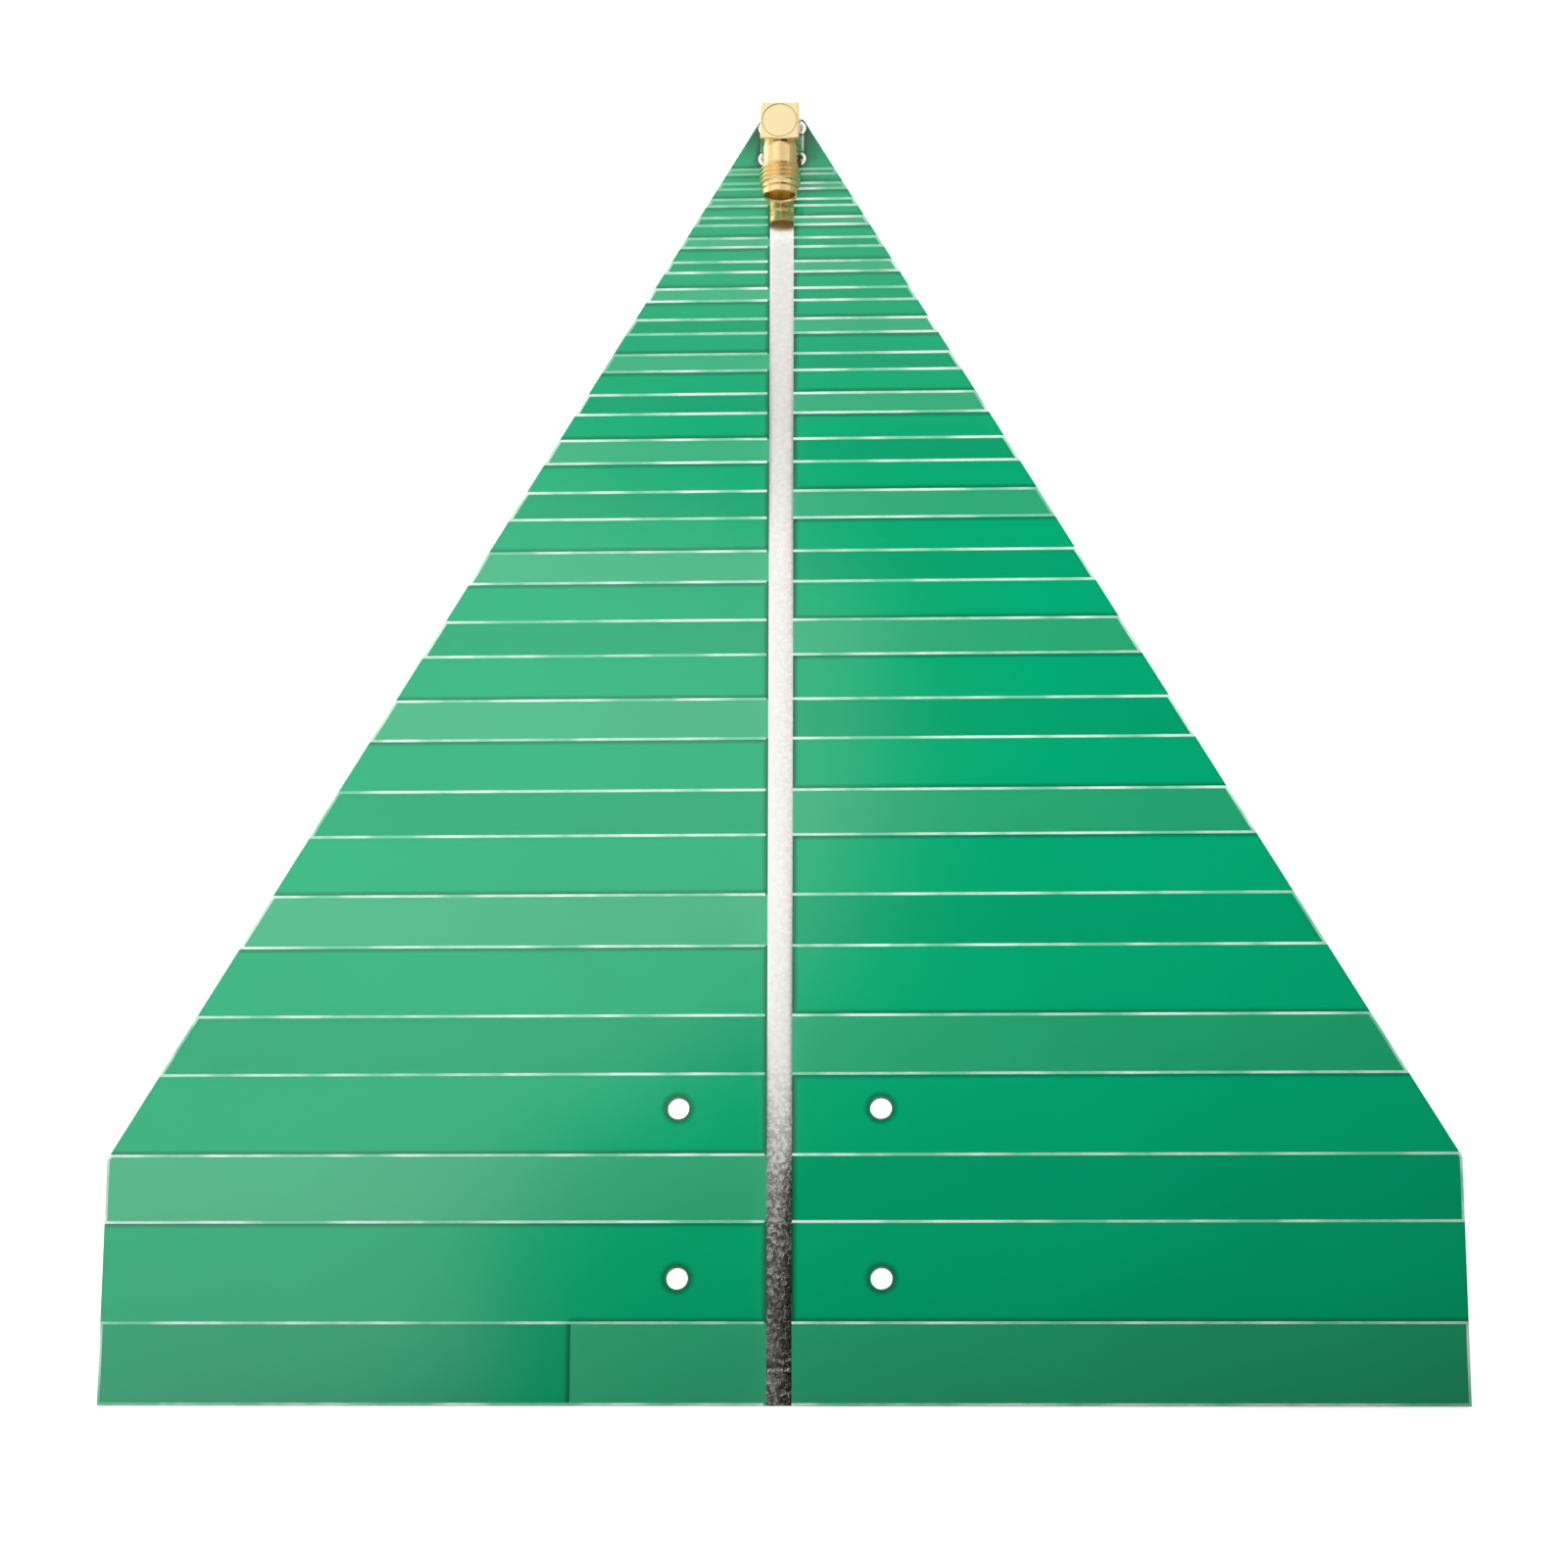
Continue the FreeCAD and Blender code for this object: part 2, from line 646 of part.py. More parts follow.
def socket_contact():
    """Turned contact: a bore with four spring fingers in front, and a cross hole for the pin."""
    body = new_body("contact")
    stick = new_sketch(body, "XY_Plane", "contact_stick")
    outer, bore = "contact_diameter / 2", "contact_bore / 2"
    bore_end = f"-({INSULATOR_FACE} - contact_bore_depth)"
    front = f"-{INSULATOR_FACE}"
    draw_profile(stick, [("0", "contact_tail"), ("0", bore_end), (bore, bore_end), (bore, front),
                         (outer, front), (outer, "contact_tail")])
    turn(body, stick)
    half_slot = "contact_slot / 2"
    near, far = f"-({INSULATOR_FACE} - contact_slot_depth)", f"-({INSULATOR_FACE} + contact_slot)"
    level = new_sketch(body, "XY_Plane", "contact_slot_level")
    draw_profile(level, [(f"-{half_slot}", near), (f"-{half_slot}", far), (half_slot, far),
                         (half_slot, near)])
    cut_through(body, level)
    upright_slot = new_sketch(body, "YZ_Plane", "contact_slot_upright")
    draw_profile(upright_slot, [(near, f"-{half_slot}"), (near, half_slot), (far, half_slot),
                                (far, f"-{half_slot}")])
    cut_through(body, upright_slot)
    cross_hole = new_sketch(body, "XY_Plane", "contact_cross_hole")
    draw_circles(cross_hole, [("0", "0", "pin_diameter / 2")])
    cut_through(body, cross_hole)
    return barrel_place(body)


def centre_pin():
    """Pin from the top of the socket contact down through the board."""
    body = new_body("pin")
    stick = new_sketch(body, "XZ_Plane", "pin_stick")
    radius, top, foot = "pin_diameter / 2", f"{JACK_AXIS} + contact_diameter / 2", "-leg_tail"
    draw_profile(stick, [("0", foot), (f"{radius} - pin_chamfer", foot), (radius, f"{foot} + pin_chamfer"),
                         (radius, top), ("0", top)])
    turn(body, stick)
    return place(body, "0", JACK_Y)


def pin_insulator():
    body = new_body("bush")
    wall = new_sketch(body, "XZ_Plane", "bush_wall")
    inner, outer = "pin_diameter / 2", "pin_insulator_diameter / 2"
    draw_profile(wall, [(inner, "0"), (outer, "0"), (outer, "cavity_floor"), (inner, "cavity_floor")])
    turn(body, wall)
    return place(body, "0", JACK_Y, BLOCK_BOTTOM)


keep(jack_block(), "jack_block")
keep(jack_barrel(), "jack_barrel")
keep(jack_cap(), "jack_cap")
keep(barrel_insulator(), "barrel_insulator")
keep(pin_insulator(), "pin_insulator")
keep(socket_contact(), "socket_contact")
keep(centre_pin(), "centre_pin")


# Solder: it fills most of each plated hole and tapers in a hollow cone along the lead behind the board

def solder_joint(name, centre, hole, land, lead_reach, lead_sketch):
    body = new_body(name)
    shape = new_sketch(body, "XZ_Plane", f"{name}_shape")
    sleeve, edge, neck = f"{hole} / 2 - plating_thickness", f"{land} / 2", f"({lead_reach} + solder_spread)"
    foot, root = "mask_thickness - solder_height", "mask_thickness"
    top = f"{LAMINATE_FRONT} - solder_fill_gap"
    waist = (f"{neck} + solder_hollow * ({edge} - {neck})", "mask_thickness - solder_hollow * solder_height")
    draw_profile(shape, [("0", foot), (neck, foot), waist, (edge, root), (sleeve, root), (sleeve, top),
                         ("0", top)])
    turn(body, shape)
    lead = new_sketch(body, "XY_Plane", f"{name}_lead")
    lead_sketch(lead)
    cut_through(body, lead)
    return place(body, *centre)


def square_lead(sketch):
    half = f"{LEG_SIDE} / 2"
    draw_profile(sketch, [(f"-{half}", f"-{half}"), (half, f"-{half}"), (half, half), (f"-{half}", half)])


def round_lead(sketch):
    draw_circles(sketch, [("0", "0", "pin_diameter / 2")])


for corner in CORNERS:
    joint = solder_joint(f"solder_{corner}", leg_centre(corner), "leg_hole", "leg_land",
                         f"{LEG_SIDE} / 2 * sqrt(2)", square_lead)
    keep(joint, f"leg_solder_{corner}")
keep(solder_joint("solder_pin", ("0", JACK_Y), "pin_hole", "pin_land", "pin_diameter / 2", round_lead),
     "pin_solder")


# Check every object, then write one file for each piece

doc.recompute()
for item in doc.Objects:
    if "Invalid" in item.State or "Error" in item.State:
        raise RuntimeError(f"{item.Name} failed: {item.State}")
for item in nodes:
    if item.Shape.isNull() or not item.Shape.isValid() or not item.Shape.Solids:
        raise RuntimeError(f"{item.Label} has no valid shape")
os.makedirs("parts", exist_ok=True)
for item in nodes:
    item.Shape.exportStep(f"parts/{item.Label}.step")
    box_size = item.Shape.BoundBox
    print(f"{item.Label}: {len(item.Shape.Solids)} solids, {item.Shape.Volume:.3f} mm3, "
          f"z {box_size.ZMin:.3f} to {box_size.ZMax:.3f}")
print(f"{len(LADDER)} dipoles, {len(nodes)} pieces")
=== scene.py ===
import logging
import math
from collections.abc import Callable, Iterable
from dataclasses import dataclass
from enum import Enum

import bmesh
import bpy
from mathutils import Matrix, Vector
from mathutils.bvhtree import BVHTree


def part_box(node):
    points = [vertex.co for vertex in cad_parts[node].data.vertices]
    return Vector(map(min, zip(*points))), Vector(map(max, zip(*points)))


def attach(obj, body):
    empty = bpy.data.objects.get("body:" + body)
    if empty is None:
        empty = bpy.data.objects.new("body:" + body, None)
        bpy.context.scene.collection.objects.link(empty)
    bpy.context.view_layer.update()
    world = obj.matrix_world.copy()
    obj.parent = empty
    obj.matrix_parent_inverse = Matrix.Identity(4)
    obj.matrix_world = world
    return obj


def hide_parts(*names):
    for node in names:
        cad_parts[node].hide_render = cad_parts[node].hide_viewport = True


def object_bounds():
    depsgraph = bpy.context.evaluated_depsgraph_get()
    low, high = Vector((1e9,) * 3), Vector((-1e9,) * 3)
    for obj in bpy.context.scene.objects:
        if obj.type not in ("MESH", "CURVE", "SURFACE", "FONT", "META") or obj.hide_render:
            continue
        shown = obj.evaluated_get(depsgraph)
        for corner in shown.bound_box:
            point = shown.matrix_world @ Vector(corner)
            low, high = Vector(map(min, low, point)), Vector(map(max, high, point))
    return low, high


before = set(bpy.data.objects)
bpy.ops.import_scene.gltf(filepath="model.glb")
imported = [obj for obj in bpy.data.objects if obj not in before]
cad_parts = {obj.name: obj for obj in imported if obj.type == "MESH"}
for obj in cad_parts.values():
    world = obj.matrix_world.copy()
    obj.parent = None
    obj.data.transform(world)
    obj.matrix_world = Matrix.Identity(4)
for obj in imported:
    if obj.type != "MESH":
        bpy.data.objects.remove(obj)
CAD_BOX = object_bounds()

LOG = logging.getLogger("antenna")
MM = 0.001
ROOT = "root"
JOIN_DISTANCE = 1e-6
NEAR = 0.01 * MM

Point = tuple[float, float]


# Small helpers

def linear(code: str) -> tuple[float, float, float, float]:
    """Turn an sRGB hex code into a linear colour.

    Args:
        code: Six hex digits.

    Returns:
        Red, green, blue and alpha, linear.
    """
    parts = [int(code[start:start + 2], 16) / 255 for start in (0, 2, 4)]
    curve = [part / 12.92 if part <= 0.04045 else ((part + 0.055) / 1.055) ** 2.4 for part in parts]
    return (*curve, 1.0)


def add_node(
    tree: bpy.types.NodeTree,
    kind: str,
    settings: dict[str | int, object] | None = None,
    links: dict[str | int, bpy.types.NodeSocket] | None = None,
) -> bpy.types.Node:
    """Add a node with its settings and links.

    Args:
        tree: The node tree that takes the node.
        kind: The node's type.
        settings: Values by input (a capitalised name or a number) or by property (a small letter).
        links: Output sockets by the input that they feed.

    Returns:
        The new node.
    """
    node = tree.nodes.new(kind)
    for key, setting in (settings or {}).items():
        if isinstance(key, int) or key[0].isupper():
            node.inputs[key].default_value = setting
        else:
            setattr(node, key, setting)
    for key, socket in (links or {}).items():
        tree.links.new(socket, node.inputs[key])
    return node


def select_only(item: bpy.types.Object) -> None:
    """Select one object alone and make it the active one."""
    bpy.ops.object.select_all(action="DESELECT")
    item.select_set(True)
    bpy.context.view_layer.objects.active = item


def edit(item: bpy.types.Object) -> None:
    """Enter edit mode on one object with everything in it selected."""
    select_only(item)
    bpy.ops.object.mode_set(mode="EDIT")
    bpy.ops.mesh.select_mode(type="VERT")
    bpy.ops.mesh.select_all(action="SELECT")


def leave_edit() -> None:
    """Go back to object mode."""
    bpy.ops.object.mode_set(mode="OBJECT")


def pick(item: bpy.types.Object, kind: str, wanted: Callable[[Vector], bool]) -> None:
    """Select, in edit mode, the parts of a mesh whose middle passes a test.

    Args:
        item: The object in edit mode.
        kind: Either "VERT" or "FACE".
        wanted: The test on a vertex's place or a face's middle, in metres.
    """
    bpy.ops.mesh.select_mode(type=kind)
    bpy.ops.mesh.select_all(action="DESELECT")
    mesh = bmesh.from_edit_mesh(item.data)
    if kind == "VERT":
        for vertex in mesh.verts:
            vertex.select_set(wanted(vertex.co))
    else:
        for face in mesh.faces:
            face.select_set(wanted(face.calc_center_median()))
    bmesh.update_edit_mesh(item.data)


def close_up(inside: bool = False) -> None:
    """Join doubled points of the mesh in edit mode and turn its faces outwards."""
    bpy.ops.mesh.select_all(action="SELECT")
    bpy.ops.mesh.remove_doubles(threshold=JOIN_DISTANCE)
    bpy.ops.mesh.normals_make_consistent(inside=inside)


def smooth(item: bpy.types.Object, degrees: float) -> None:
    """Shade a piece smooth across edges flatter than an angle in degrees."""
    select_only(item)
    bpy.ops.object.shade_smooth_by_angle(angle=math.radians(degrees))


def merged_copy(node: str, name: str) -> bpy.types.Object:
    """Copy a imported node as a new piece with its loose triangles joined.

    Args:
        node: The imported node's name.
        name: The new piece's name.

    Returns:
        The new piece, at the origin, with no material.
    """
    piece = bpy.data.objects.new(name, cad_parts[node].data.copy())
    bpy.context.scene.collection.objects.link(piece)
    piece.data.materials.clear()
    select_only(piece)
    bpy.ops.mesh.customdata_custom_splitnormals_clear()
    edit(piece)
    bpy.ops.mesh.remove_doubles(threshold=JOIN_DISTANCE)
    leave_edit()
    return piece


def slice_at(piece: bpy.types.Object, axis: int, places: Iterable[float]) -> None:
    """Cut a mesh by planes square to an axis, so that its faces end there.

    Args:
        piece: The piece to cut.
        axis: 0, 1 or 2 for X, Y or Z.
        places: Where the planes stand, in metres.
    """
    normal = [0.0, 0.0, 0.0]
    normal[axis] = 1.0
    edit(piece)
    for place in places:
        bpy.ops.mesh.select_all(action="SELECT")
        bpy.ops.mesh.bisect(plane_co=[place * part for part in normal], plane_no=normal)
    leave_edit()


def tree_of(node: str) -> BVHTree:
    """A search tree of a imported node's faces."""
    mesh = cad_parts[node].data
    return BVHTree.FromPolygons([vertex.co for vertex in mesh.vertices], [face.vertices for face in mesh.polygons])


def profile(name: str, points: Iterable[Point]) -> bpy.types.Object:
    """Draw a line of points, to be spun or screwed round the Y axis.

    Args:
        name: The new piece's name.
        points: Pairs of radius and distance along Y, in millimetres.

    Returns:
        The new piece, in edit mode, with its line selected.
    """
    stops = [Vector((radius * MM, along * MM, 0)) for radius, along in points]
    bpy.ops.object.select_all(action="DESELECT")
    bpy.ops.mesh.primitive_plane_add(size=MM, location=stops[0])
    piece = bpy.context.object
    piece.name = name
    bpy.ops.object.transform_apply(location=True)
    edit(piece)
    bpy.ops.mesh.merge(type="CENTER")
    for start, stop in zip(stops, stops[1:]):
        bpy.ops.mesh.extrude_region_move(TRANSFORM_OT_translate={"value": stop - start})
    bpy.ops.mesh.select_all(action="SELECT")
    return piece


def turned(name: str, points: Iterable[Point], steps: int) -> bpy.types.Object:
    """Turn a profile a full circle about the Y axis, as on a lathe.

    Args:
        name: The new piece's name.
        points: Pairs of radius and distance along Y, in millimetres.
        steps: How many steps the circle has.

    Returns:
        The new piece, in object mode.
    """
    piece = profile(name, points)
    bpy.ops.mesh.spin(steps=steps, angle=math.tau, center=(0, 0, 0), axis=(0, 1, 0))
    close_up()
    leave_edit()
    return piece


def shift(piece: bpy.types.Object, offset: Vector) -> None:
    """Move a piece's mesh, with the object left at the origin."""
    edit(piece)
    bpy.ops.transform.translate(value=offset)
    leave_edit()


def stand_up(piece: bpy.types.Object) -> None:
    """Turn a piece that was made along Y so that its +Y end points up."""
    edit(piece)
    mesh = bmesh.from_edit_mesh(piece.data)
    for vertex in mesh.verts:
        vertex.co = Vector((vertex.co.x, -vertex.co.z, vertex.co.y))
    bmesh.update_edit_mesh(piece.data)
    leave_edit()


def hand_over(piece: bpy.types.Object, material: bpy.types.Material | None, slot: str,
              *nodes: str) -> bpy.types.Object:
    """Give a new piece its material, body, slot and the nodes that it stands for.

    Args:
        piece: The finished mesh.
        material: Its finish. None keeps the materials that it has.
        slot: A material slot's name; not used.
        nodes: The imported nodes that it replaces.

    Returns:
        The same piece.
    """
    if material is not None:
        piece.data.materials.clear()
        piece.data.materials.append(material)
    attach(piece, ROOT)
    if nodes:
        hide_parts(*nodes)
    return piece


# Finishes

@dataclass(frozen=True)
class Finish:
    """What every finish shares: a name, a colour and how the surface meets light."""

    name: str
    colour: str
    roughness: float
    metallic: float = 0.0
    specular: float = 0.5

    def start(self) -> tuple[bpy.types.NodeTree, bpy.types.Node, bpy.types.NodeSocket]:
        """Begin the material.

        Returns:
            The node tree, the surface shader and the object coordinates.
        """
        material = bpy.data.materials.new(self.name)
        material.use_nodes = True
        tree = material.node_tree
        tree.nodes.clear()
        surface = add_node(tree, "ShaderNodeBsdfPrincipled", {
            "Base Color": linear(self.colour), "Roughness": self.roughness, "Metallic": self.metallic,
            "Specular IOR Level": self.specular})
        add_node(tree, "ShaderNodeOutputMaterial", links={"Surface": surface.outputs["BSDF"]})
        place = add_node(tree, "ShaderNodeTexCoord").outputs["Object"]
        return tree, surface, place

    def vary(self, tree: bpy.types.NodeTree, surface: bpy.types.Node, mask: bpy.types.NodeSocket,
             low: str, high: str) -> None:
        """Run the base colour between two hex colours by a mask."""
        mix = add_node(tree, "ShaderNodeMix", {"data_type": "RGBA", 6: linear(low), 7: linear(high)}, {0: mask})
        tree.links.new(mix.outputs[2], surface.inputs["Base Color"])

    def roughen(self, tree: bpy.types.NodeTree, surface: bpy.types.Node, mask: bpy.types.NodeSocket,
                low: float, high: float) -> None:
        """Run the roughness between two values by a mask."""
        span = add_node(tree, "ShaderNodeMapRange", {"To Min": low, "To Max": high}, {"Value": mask})
        tree.links.new(span.outputs["Result"], surface.inputs["Roughness"])

    def relief(self, tree: bpy.types.NodeTree, surface: bpy.types.Node, height: bpy.types.NodeSocket,
               depth: float) -> None:
        """Raise the surface by a height from 0 to 1 over a depth in millimetres."""
        bump = add_node(tree, "ShaderNodeBump", {"Distance": depth * MM}, {"Height": height})
        tree.links.new(bump.outputs["Normal"], surface.inputs["Normal"])


@dataclass(frozen=True)
class SolderMask(Finish):
    """Green epoxy solder mask, curtain coated and cured: a glassy film, darker beside the copper's edges, with
    painted shade round the fixing holes.

    The eye sees a wet gloss, a deep green over bare laminate and a paler, warmer one over copper.
    """

    # darker green for the band beside the copper's edges, also used for the painted shade round the holes
    edge_dark_and_rim_shade: str = "005A38"
    drift: float = 0.03
    drift_patch: float = 30.0
    weave_pitch: float = 0.6
    weave_depth: float = 0.0004
    hole_place: tuple[float, float] = (15.0, 12.5)
    hole_reach: tuple[float, float] = (1.8, 2.7)
    rim_shade_strength: float = 0.75
    film_index: float = 1.57
    film_roughness: float = 0.13

    def material(self) -> bpy.types.Material:
        """Build the coat: slow drift of colour, darker bands along the copper, painted shade round the holes, and
        the glass weave under it.
        """
        tree, surface, place = self.start()
        surface.inputs["Coat Weight"].default_value = 1.0
        surface.inputs["Coat IOR"].default_value = self.film_index
        surface.inputs["Coat Roughness"].default_value = self.film_roughness
        # slow drift of the film's thickness over a few centimetres
        patches = add_node(tree, "ShaderNodeTexNoise", {"Scale": 1 / (self.drift_patch * MM), "Detail": 2.0},
                           {"Vector": place})
        level = add_node(tree, "ShaderNodeMapRange", {
            "From Min": 0.3, "From Max": 0.7, "To Min": 1 - self.drift, "To Max": 1 + self.drift},
            {"Value": patches.outputs["Fac"]})
        even = add_node(tree, "ShaderNodeMix", {
            "data_type": "RGBA", "blend_type": "MULTIPLY", 0: 1.0, 6: linear(self.colour)},
            {7: level.outputs["Result"]})
        # darker beside the copper's edges, and painted shade round the fixing holes
        edge_dark = add_node(tree, "ShaderNodeAttribute", {"attribute_name": "edge_dark"})
        darkening = add_node(tree, "ShaderNodeMath", {"operation": "MAXIMUM"}, {
            0: edge_dark.outputs["Fac"], 1: self.hole_rim_shade(tree, place)})
        dark = add_node(tree, "ShaderNodeMix", {"data_type": "RGBA", 7: linear(self.edge_dark_and_rim_shade)},
                        {0: darkening.outputs["Value"], 6: even.outputs[2]})
        tree.links.new(dark.outputs[2], surface.inputs["Base Color"])
        # the glass cloth prints through as a very faint square weave
        waves = [add_node(tree, "ShaderNodeTexWave", {
            "wave_type": "BANDS", "bands_direction": way, "Scale": math.tau / (20 * self.weave_pitch * MM),
            "Distortion": 0.6, "Detail": 1.0}, {"Vector": place}) for way in ("X", "Y")]
        both = add_node(tree, "ShaderNodeMath", {"operation": "MULTIPLY"},
                        {0: waves[0].outputs["Fac"], 1: waves[1].outputs["Fac"]})
        self.relief(tree, surface, both.outputs["Value"], self.weave_depth)
        return bpy.data.materials[self.name]

    def hole_rim_shade(self, tree: bpy.types.NodeTree, place: bpy.types.NodeSocket) -> bpy.types.NodeSocket:
        """A mask of painted shade on the rims round the four fixing holes, where the film draws back.

        Args:
            tree: The material's node tree.
            place: The object coordinates.

        Returns:
            The mask, strongest at the film's edge.
        """
        folded = add_node(tree, "ShaderNodeVectorMath", {"operation": "ABSOLUTE"}, {0: place})
        offset = add_node(tree, "ShaderNodeVectorMath", {
            "operation": "SUBTRACT", 1: [part * MM for part in (*self.hole_place, 0.0)]}, {0: folded.outputs[0]})
        flat = add_node(tree, "ShaderNodeVectorMath", {"operation": "MULTIPLY", 1: (1.0, 1.0, 0.0)},
                        {0: offset.outputs[0]})
        distance = add_node(tree, "ShaderNodeVectorMath", {"operation": "LENGTH"}, {0: flat.outputs[0]})
        near, far = (reach * MM for reach in self.hole_reach)
        # painted shade, strongest at the film's edge
        rim_shade = add_node(tree, "ShaderNodeMapRange", {
            "From Min": near, "From Max": far, "To Min": self.rim_shade_strength, "To Max": 0.0},
            {"Value": distance.outputs["Value"]})
        return rim_shade.outputs["Result"]


@dataclass(frozen=True)
class LevelledTin(Finish):
    """Tin alloy, levelled by hot air: mirror bright with an uneven, slightly crusted skin, and painted dark
    reflection toward the wide end.
    """

    grain: float = 0.7
    depth: float = 0.03
    # crust and painted dark reflection: the level left at the calm end, the grey colour, and the span along Y over
    # which they fade
    settled_and_lit: float = 0.06
    crust_and_dark_reflection: str = "97928D"
    ripple: float = 1.7
    crust_and_reflection_span: tuple[float, float] = (-5.0, 20.0)
    spot_range: tuple[float, float] = (0.42, 0.56)
    ripple_span: tuple[float, float] = (-23.0, -26.0)

    def material(self) -> bpy.types.Material:
        """Build the tin: blotches a millimetre wide, crusted and with painted dark reflection at the wide end, and
        calmer from there on.
        """
        tree, surface, place = self.start()
        blotch = add_node(tree, "ShaderNodeTexNoise", {
            "Scale": 1 / (self.grain * MM), "Detail": 5.0, "Roughness": 0.6, "Distortion": 0.4}, {"Vector": place})
        self.roughen(tree, surface, blotch.outputs["Fac"], self.roughness * 0.6, self.roughness * 1.5)
        along = add_node(tree, "ShaderNodeSeparateXYZ", links={0: place})
        # painted dark reflection, with the crust, strongest at the wide end (low Y)
        crust_and_reflection = add_node(tree, "ShaderNodeMapRange", {
            "From Min": self.crust_and_reflection_span[0] * MM, "From Max": self.crust_and_reflection_span[1] * MM, "To Min": 1.0,
            "To Max": self.settled_and_lit},
            {"Value": along.outputs["Y"]})
        # dull grey spots toward the wide end: partly crusted skin, partly painted dark reflection
        spots = add_node(tree, "ShaderNodeMapRange", {
            "From Min": self.spot_range[0], "From Max": self.spot_range[1]}, {"Value": blotch.outputs["Fac"]})
        dull_and_dark = add_node(tree, "ShaderNodeMath", {"operation": "MULTIPLY"}, {
            0: spots.outputs["Result"], 1: crust_and_reflection.outputs["Result"]})
        clean_and_lit = add_node(tree, "ShaderNodeMath", {"operation": "SUBTRACT", 0: 1.0}, {1: dull_and_dark.outputs["Value"]})
        self.vary(tree, surface, clean_and_lit.outputs["Value"], self.crust_and_dark_reflection, self.colour)
        height = add_node(tree, "ShaderNodeMath", {"operation": "MULTIPLY"}, {
            0: blotch.outputs["Fac"], 1: crust_and_reflection.outputs["Result"]})
        # the last millimetres carry ripples across the strip, where the molten tin ran off
        ripples = add_node(tree, "ShaderNodeTexWave", {
            "wave_type": "BANDS", "bands_direction": "Y", "Scale": math.tau / (20 * self.ripple * MM),
            "Distortion": 3.0, "Detail": 2.0}, {"Vector": place})
        end = add_node(tree, "ShaderNodeMapRange", {
            "From Min": self.ripple_span[0] * MM, "From Max": self.ripple_span[1] * MM},
            {"Value": along.outputs["Y"]})
        wave = add_node(tree, "ShaderNodeMath", {"operation": "MULTIPLY_ADD"}, {
            0: ripples.outputs["Fac"], 1: end.outputs["Result"], 2: height.outputs["Value"]})
        self.relief(tree, surface, wave.outputs["Value"], self.depth)
        return bpy.data.materials[self.name]


@dataclass(frozen=True)
class GoldPlate(Finish):
    """Hard gold plate over turned brass: warm mirror with the faint lines of the lathe tool."""

    tool_feed: float = 0.12
    depth: float = 0.0006
    along: str = "Y"
    handled_patch: float = 1.5

    def material(self) -> bpy.types.Material:
        """Build the gold: tool lines across one axis and slight wear of the shine."""
        tree, surface, place = self.start()
        lines = add_node(tree, "ShaderNodeTexWave", {
            "wave_type": "BANDS", "bands_direction": self.along, "Scale": math.tau / (20 * self.tool_feed * MM),
            "Distortion": 1.0, "Detail": 1.0}, {"Vector": place})
        handled = add_node(tree, "ShaderNodeTexNoise", {
            "Scale": 1 / (self.handled_patch * MM), "Detail": 3.0}, {"Vector": place})
        self.roughen(tree, surface, handled.outputs["Fac"], self.roughness * 0.7, self.roughness * 1.3)
        self.relief(tree, surface, lines.outputs["Fac"], self.depth)
        return bpy.data.materials[self.name]


@dataclass(frozen=True)
class LegendInk(Finish):
    """White epoxy legend ink, screened on: satin, thin enough for the green to tint it in stretches."""

    thin: str = "7FCFA8"
    stretch: float = 9.0
    ink_range: tuple[float, float] = (0.4, 0.62)
    depth: float = 0.002

    def material(self) -> bpy.types.Material:
        """Build the ink: thick and thin stretches a few millimetres long."""
        tree, surface, place = self.start()
        stretch = add_node(tree, "ShaderNodeTexNoise", {"Scale": 1 / (self.stretch * MM), "Detail": 3.0},
                           {"Vector": place})
        ink = add_node(tree, "ShaderNodeMapRange", {
            "From Min": self.ink_range[0], "From Max": self.ink_range[1]}, {"Value": stretch.outputs["Fac"]})
        self.vary(tree, surface, ink.outputs["Result"], self.thin, self.colour)
        self.relief(tree, surface, stretch.outputs["Fac"], self.depth)
        return bpy.data.materials[self.name]


@dataclass(frozen=True)
class GlassEpoxy(Finish):
    """Glass-epoxy laminate, routed and drilled: an olive edge that shows the cloth's layers."""

    ply: float = 0.19
    dark_ply: str = "525F47"
    grain: float = 0.25
    depth: float = 0.02

    def material(self) -> bpy.types.Material:
        """Build the laminate: plies of cloth seen edge on, and a coarse routed surface."""
        tree, surface, place = self.start()
        plies = add_node(tree, "ShaderNodeTexWave", {
            "wave_type": "BANDS", "bands_direction": "Z", "Scale": math.tau / (20 * self.ply * MM),
            "Distortion": 1.5, "Detail": 2.0}, {"Vector": place})
        self.vary(tree, surface, plies.outputs["Fac"], self.dark_ply, self.colour)
        grain = add_node(tree, "ShaderNodeTexNoise", {"Scale": 1 / (self.grain * MM), "Detail": 4.0},
                         {"Vector": place})
        self.relief(tree, surface, grain.outputs["Fac"], self.depth)
        return bpy.data.materials[self.name]


@dataclass(frozen=True)
class Cloudy(Finish):
    """A plain solid finish whose colour and shine drift a little over a set distance."""

    second: str = "FFFFFF"
    patch: float = 1.0
    depth: float = 0.002

    def material(self) -> bpy.types.Material:
        """Build the finish from one noise."""
        tree, surface, place = self.start()
        cloud = add_node(tree, "ShaderNodeTexNoise", {"Scale": 1 / (self.patch * MM), "Detail": 4.0},
                         {"Vector": place})
        self.vary(tree, surface, cloud.outputs["Fac"], self.second, self.colour)
        self.roughen(tree, surface, cloud.outputs["Fac"], self.roughness * 0.8, self.roughness * 1.2)
        self.relief(tree, surface, cloud.outputs["Fac"], self.depth)
        return bpy.data.materials[self.name]


# Printed board

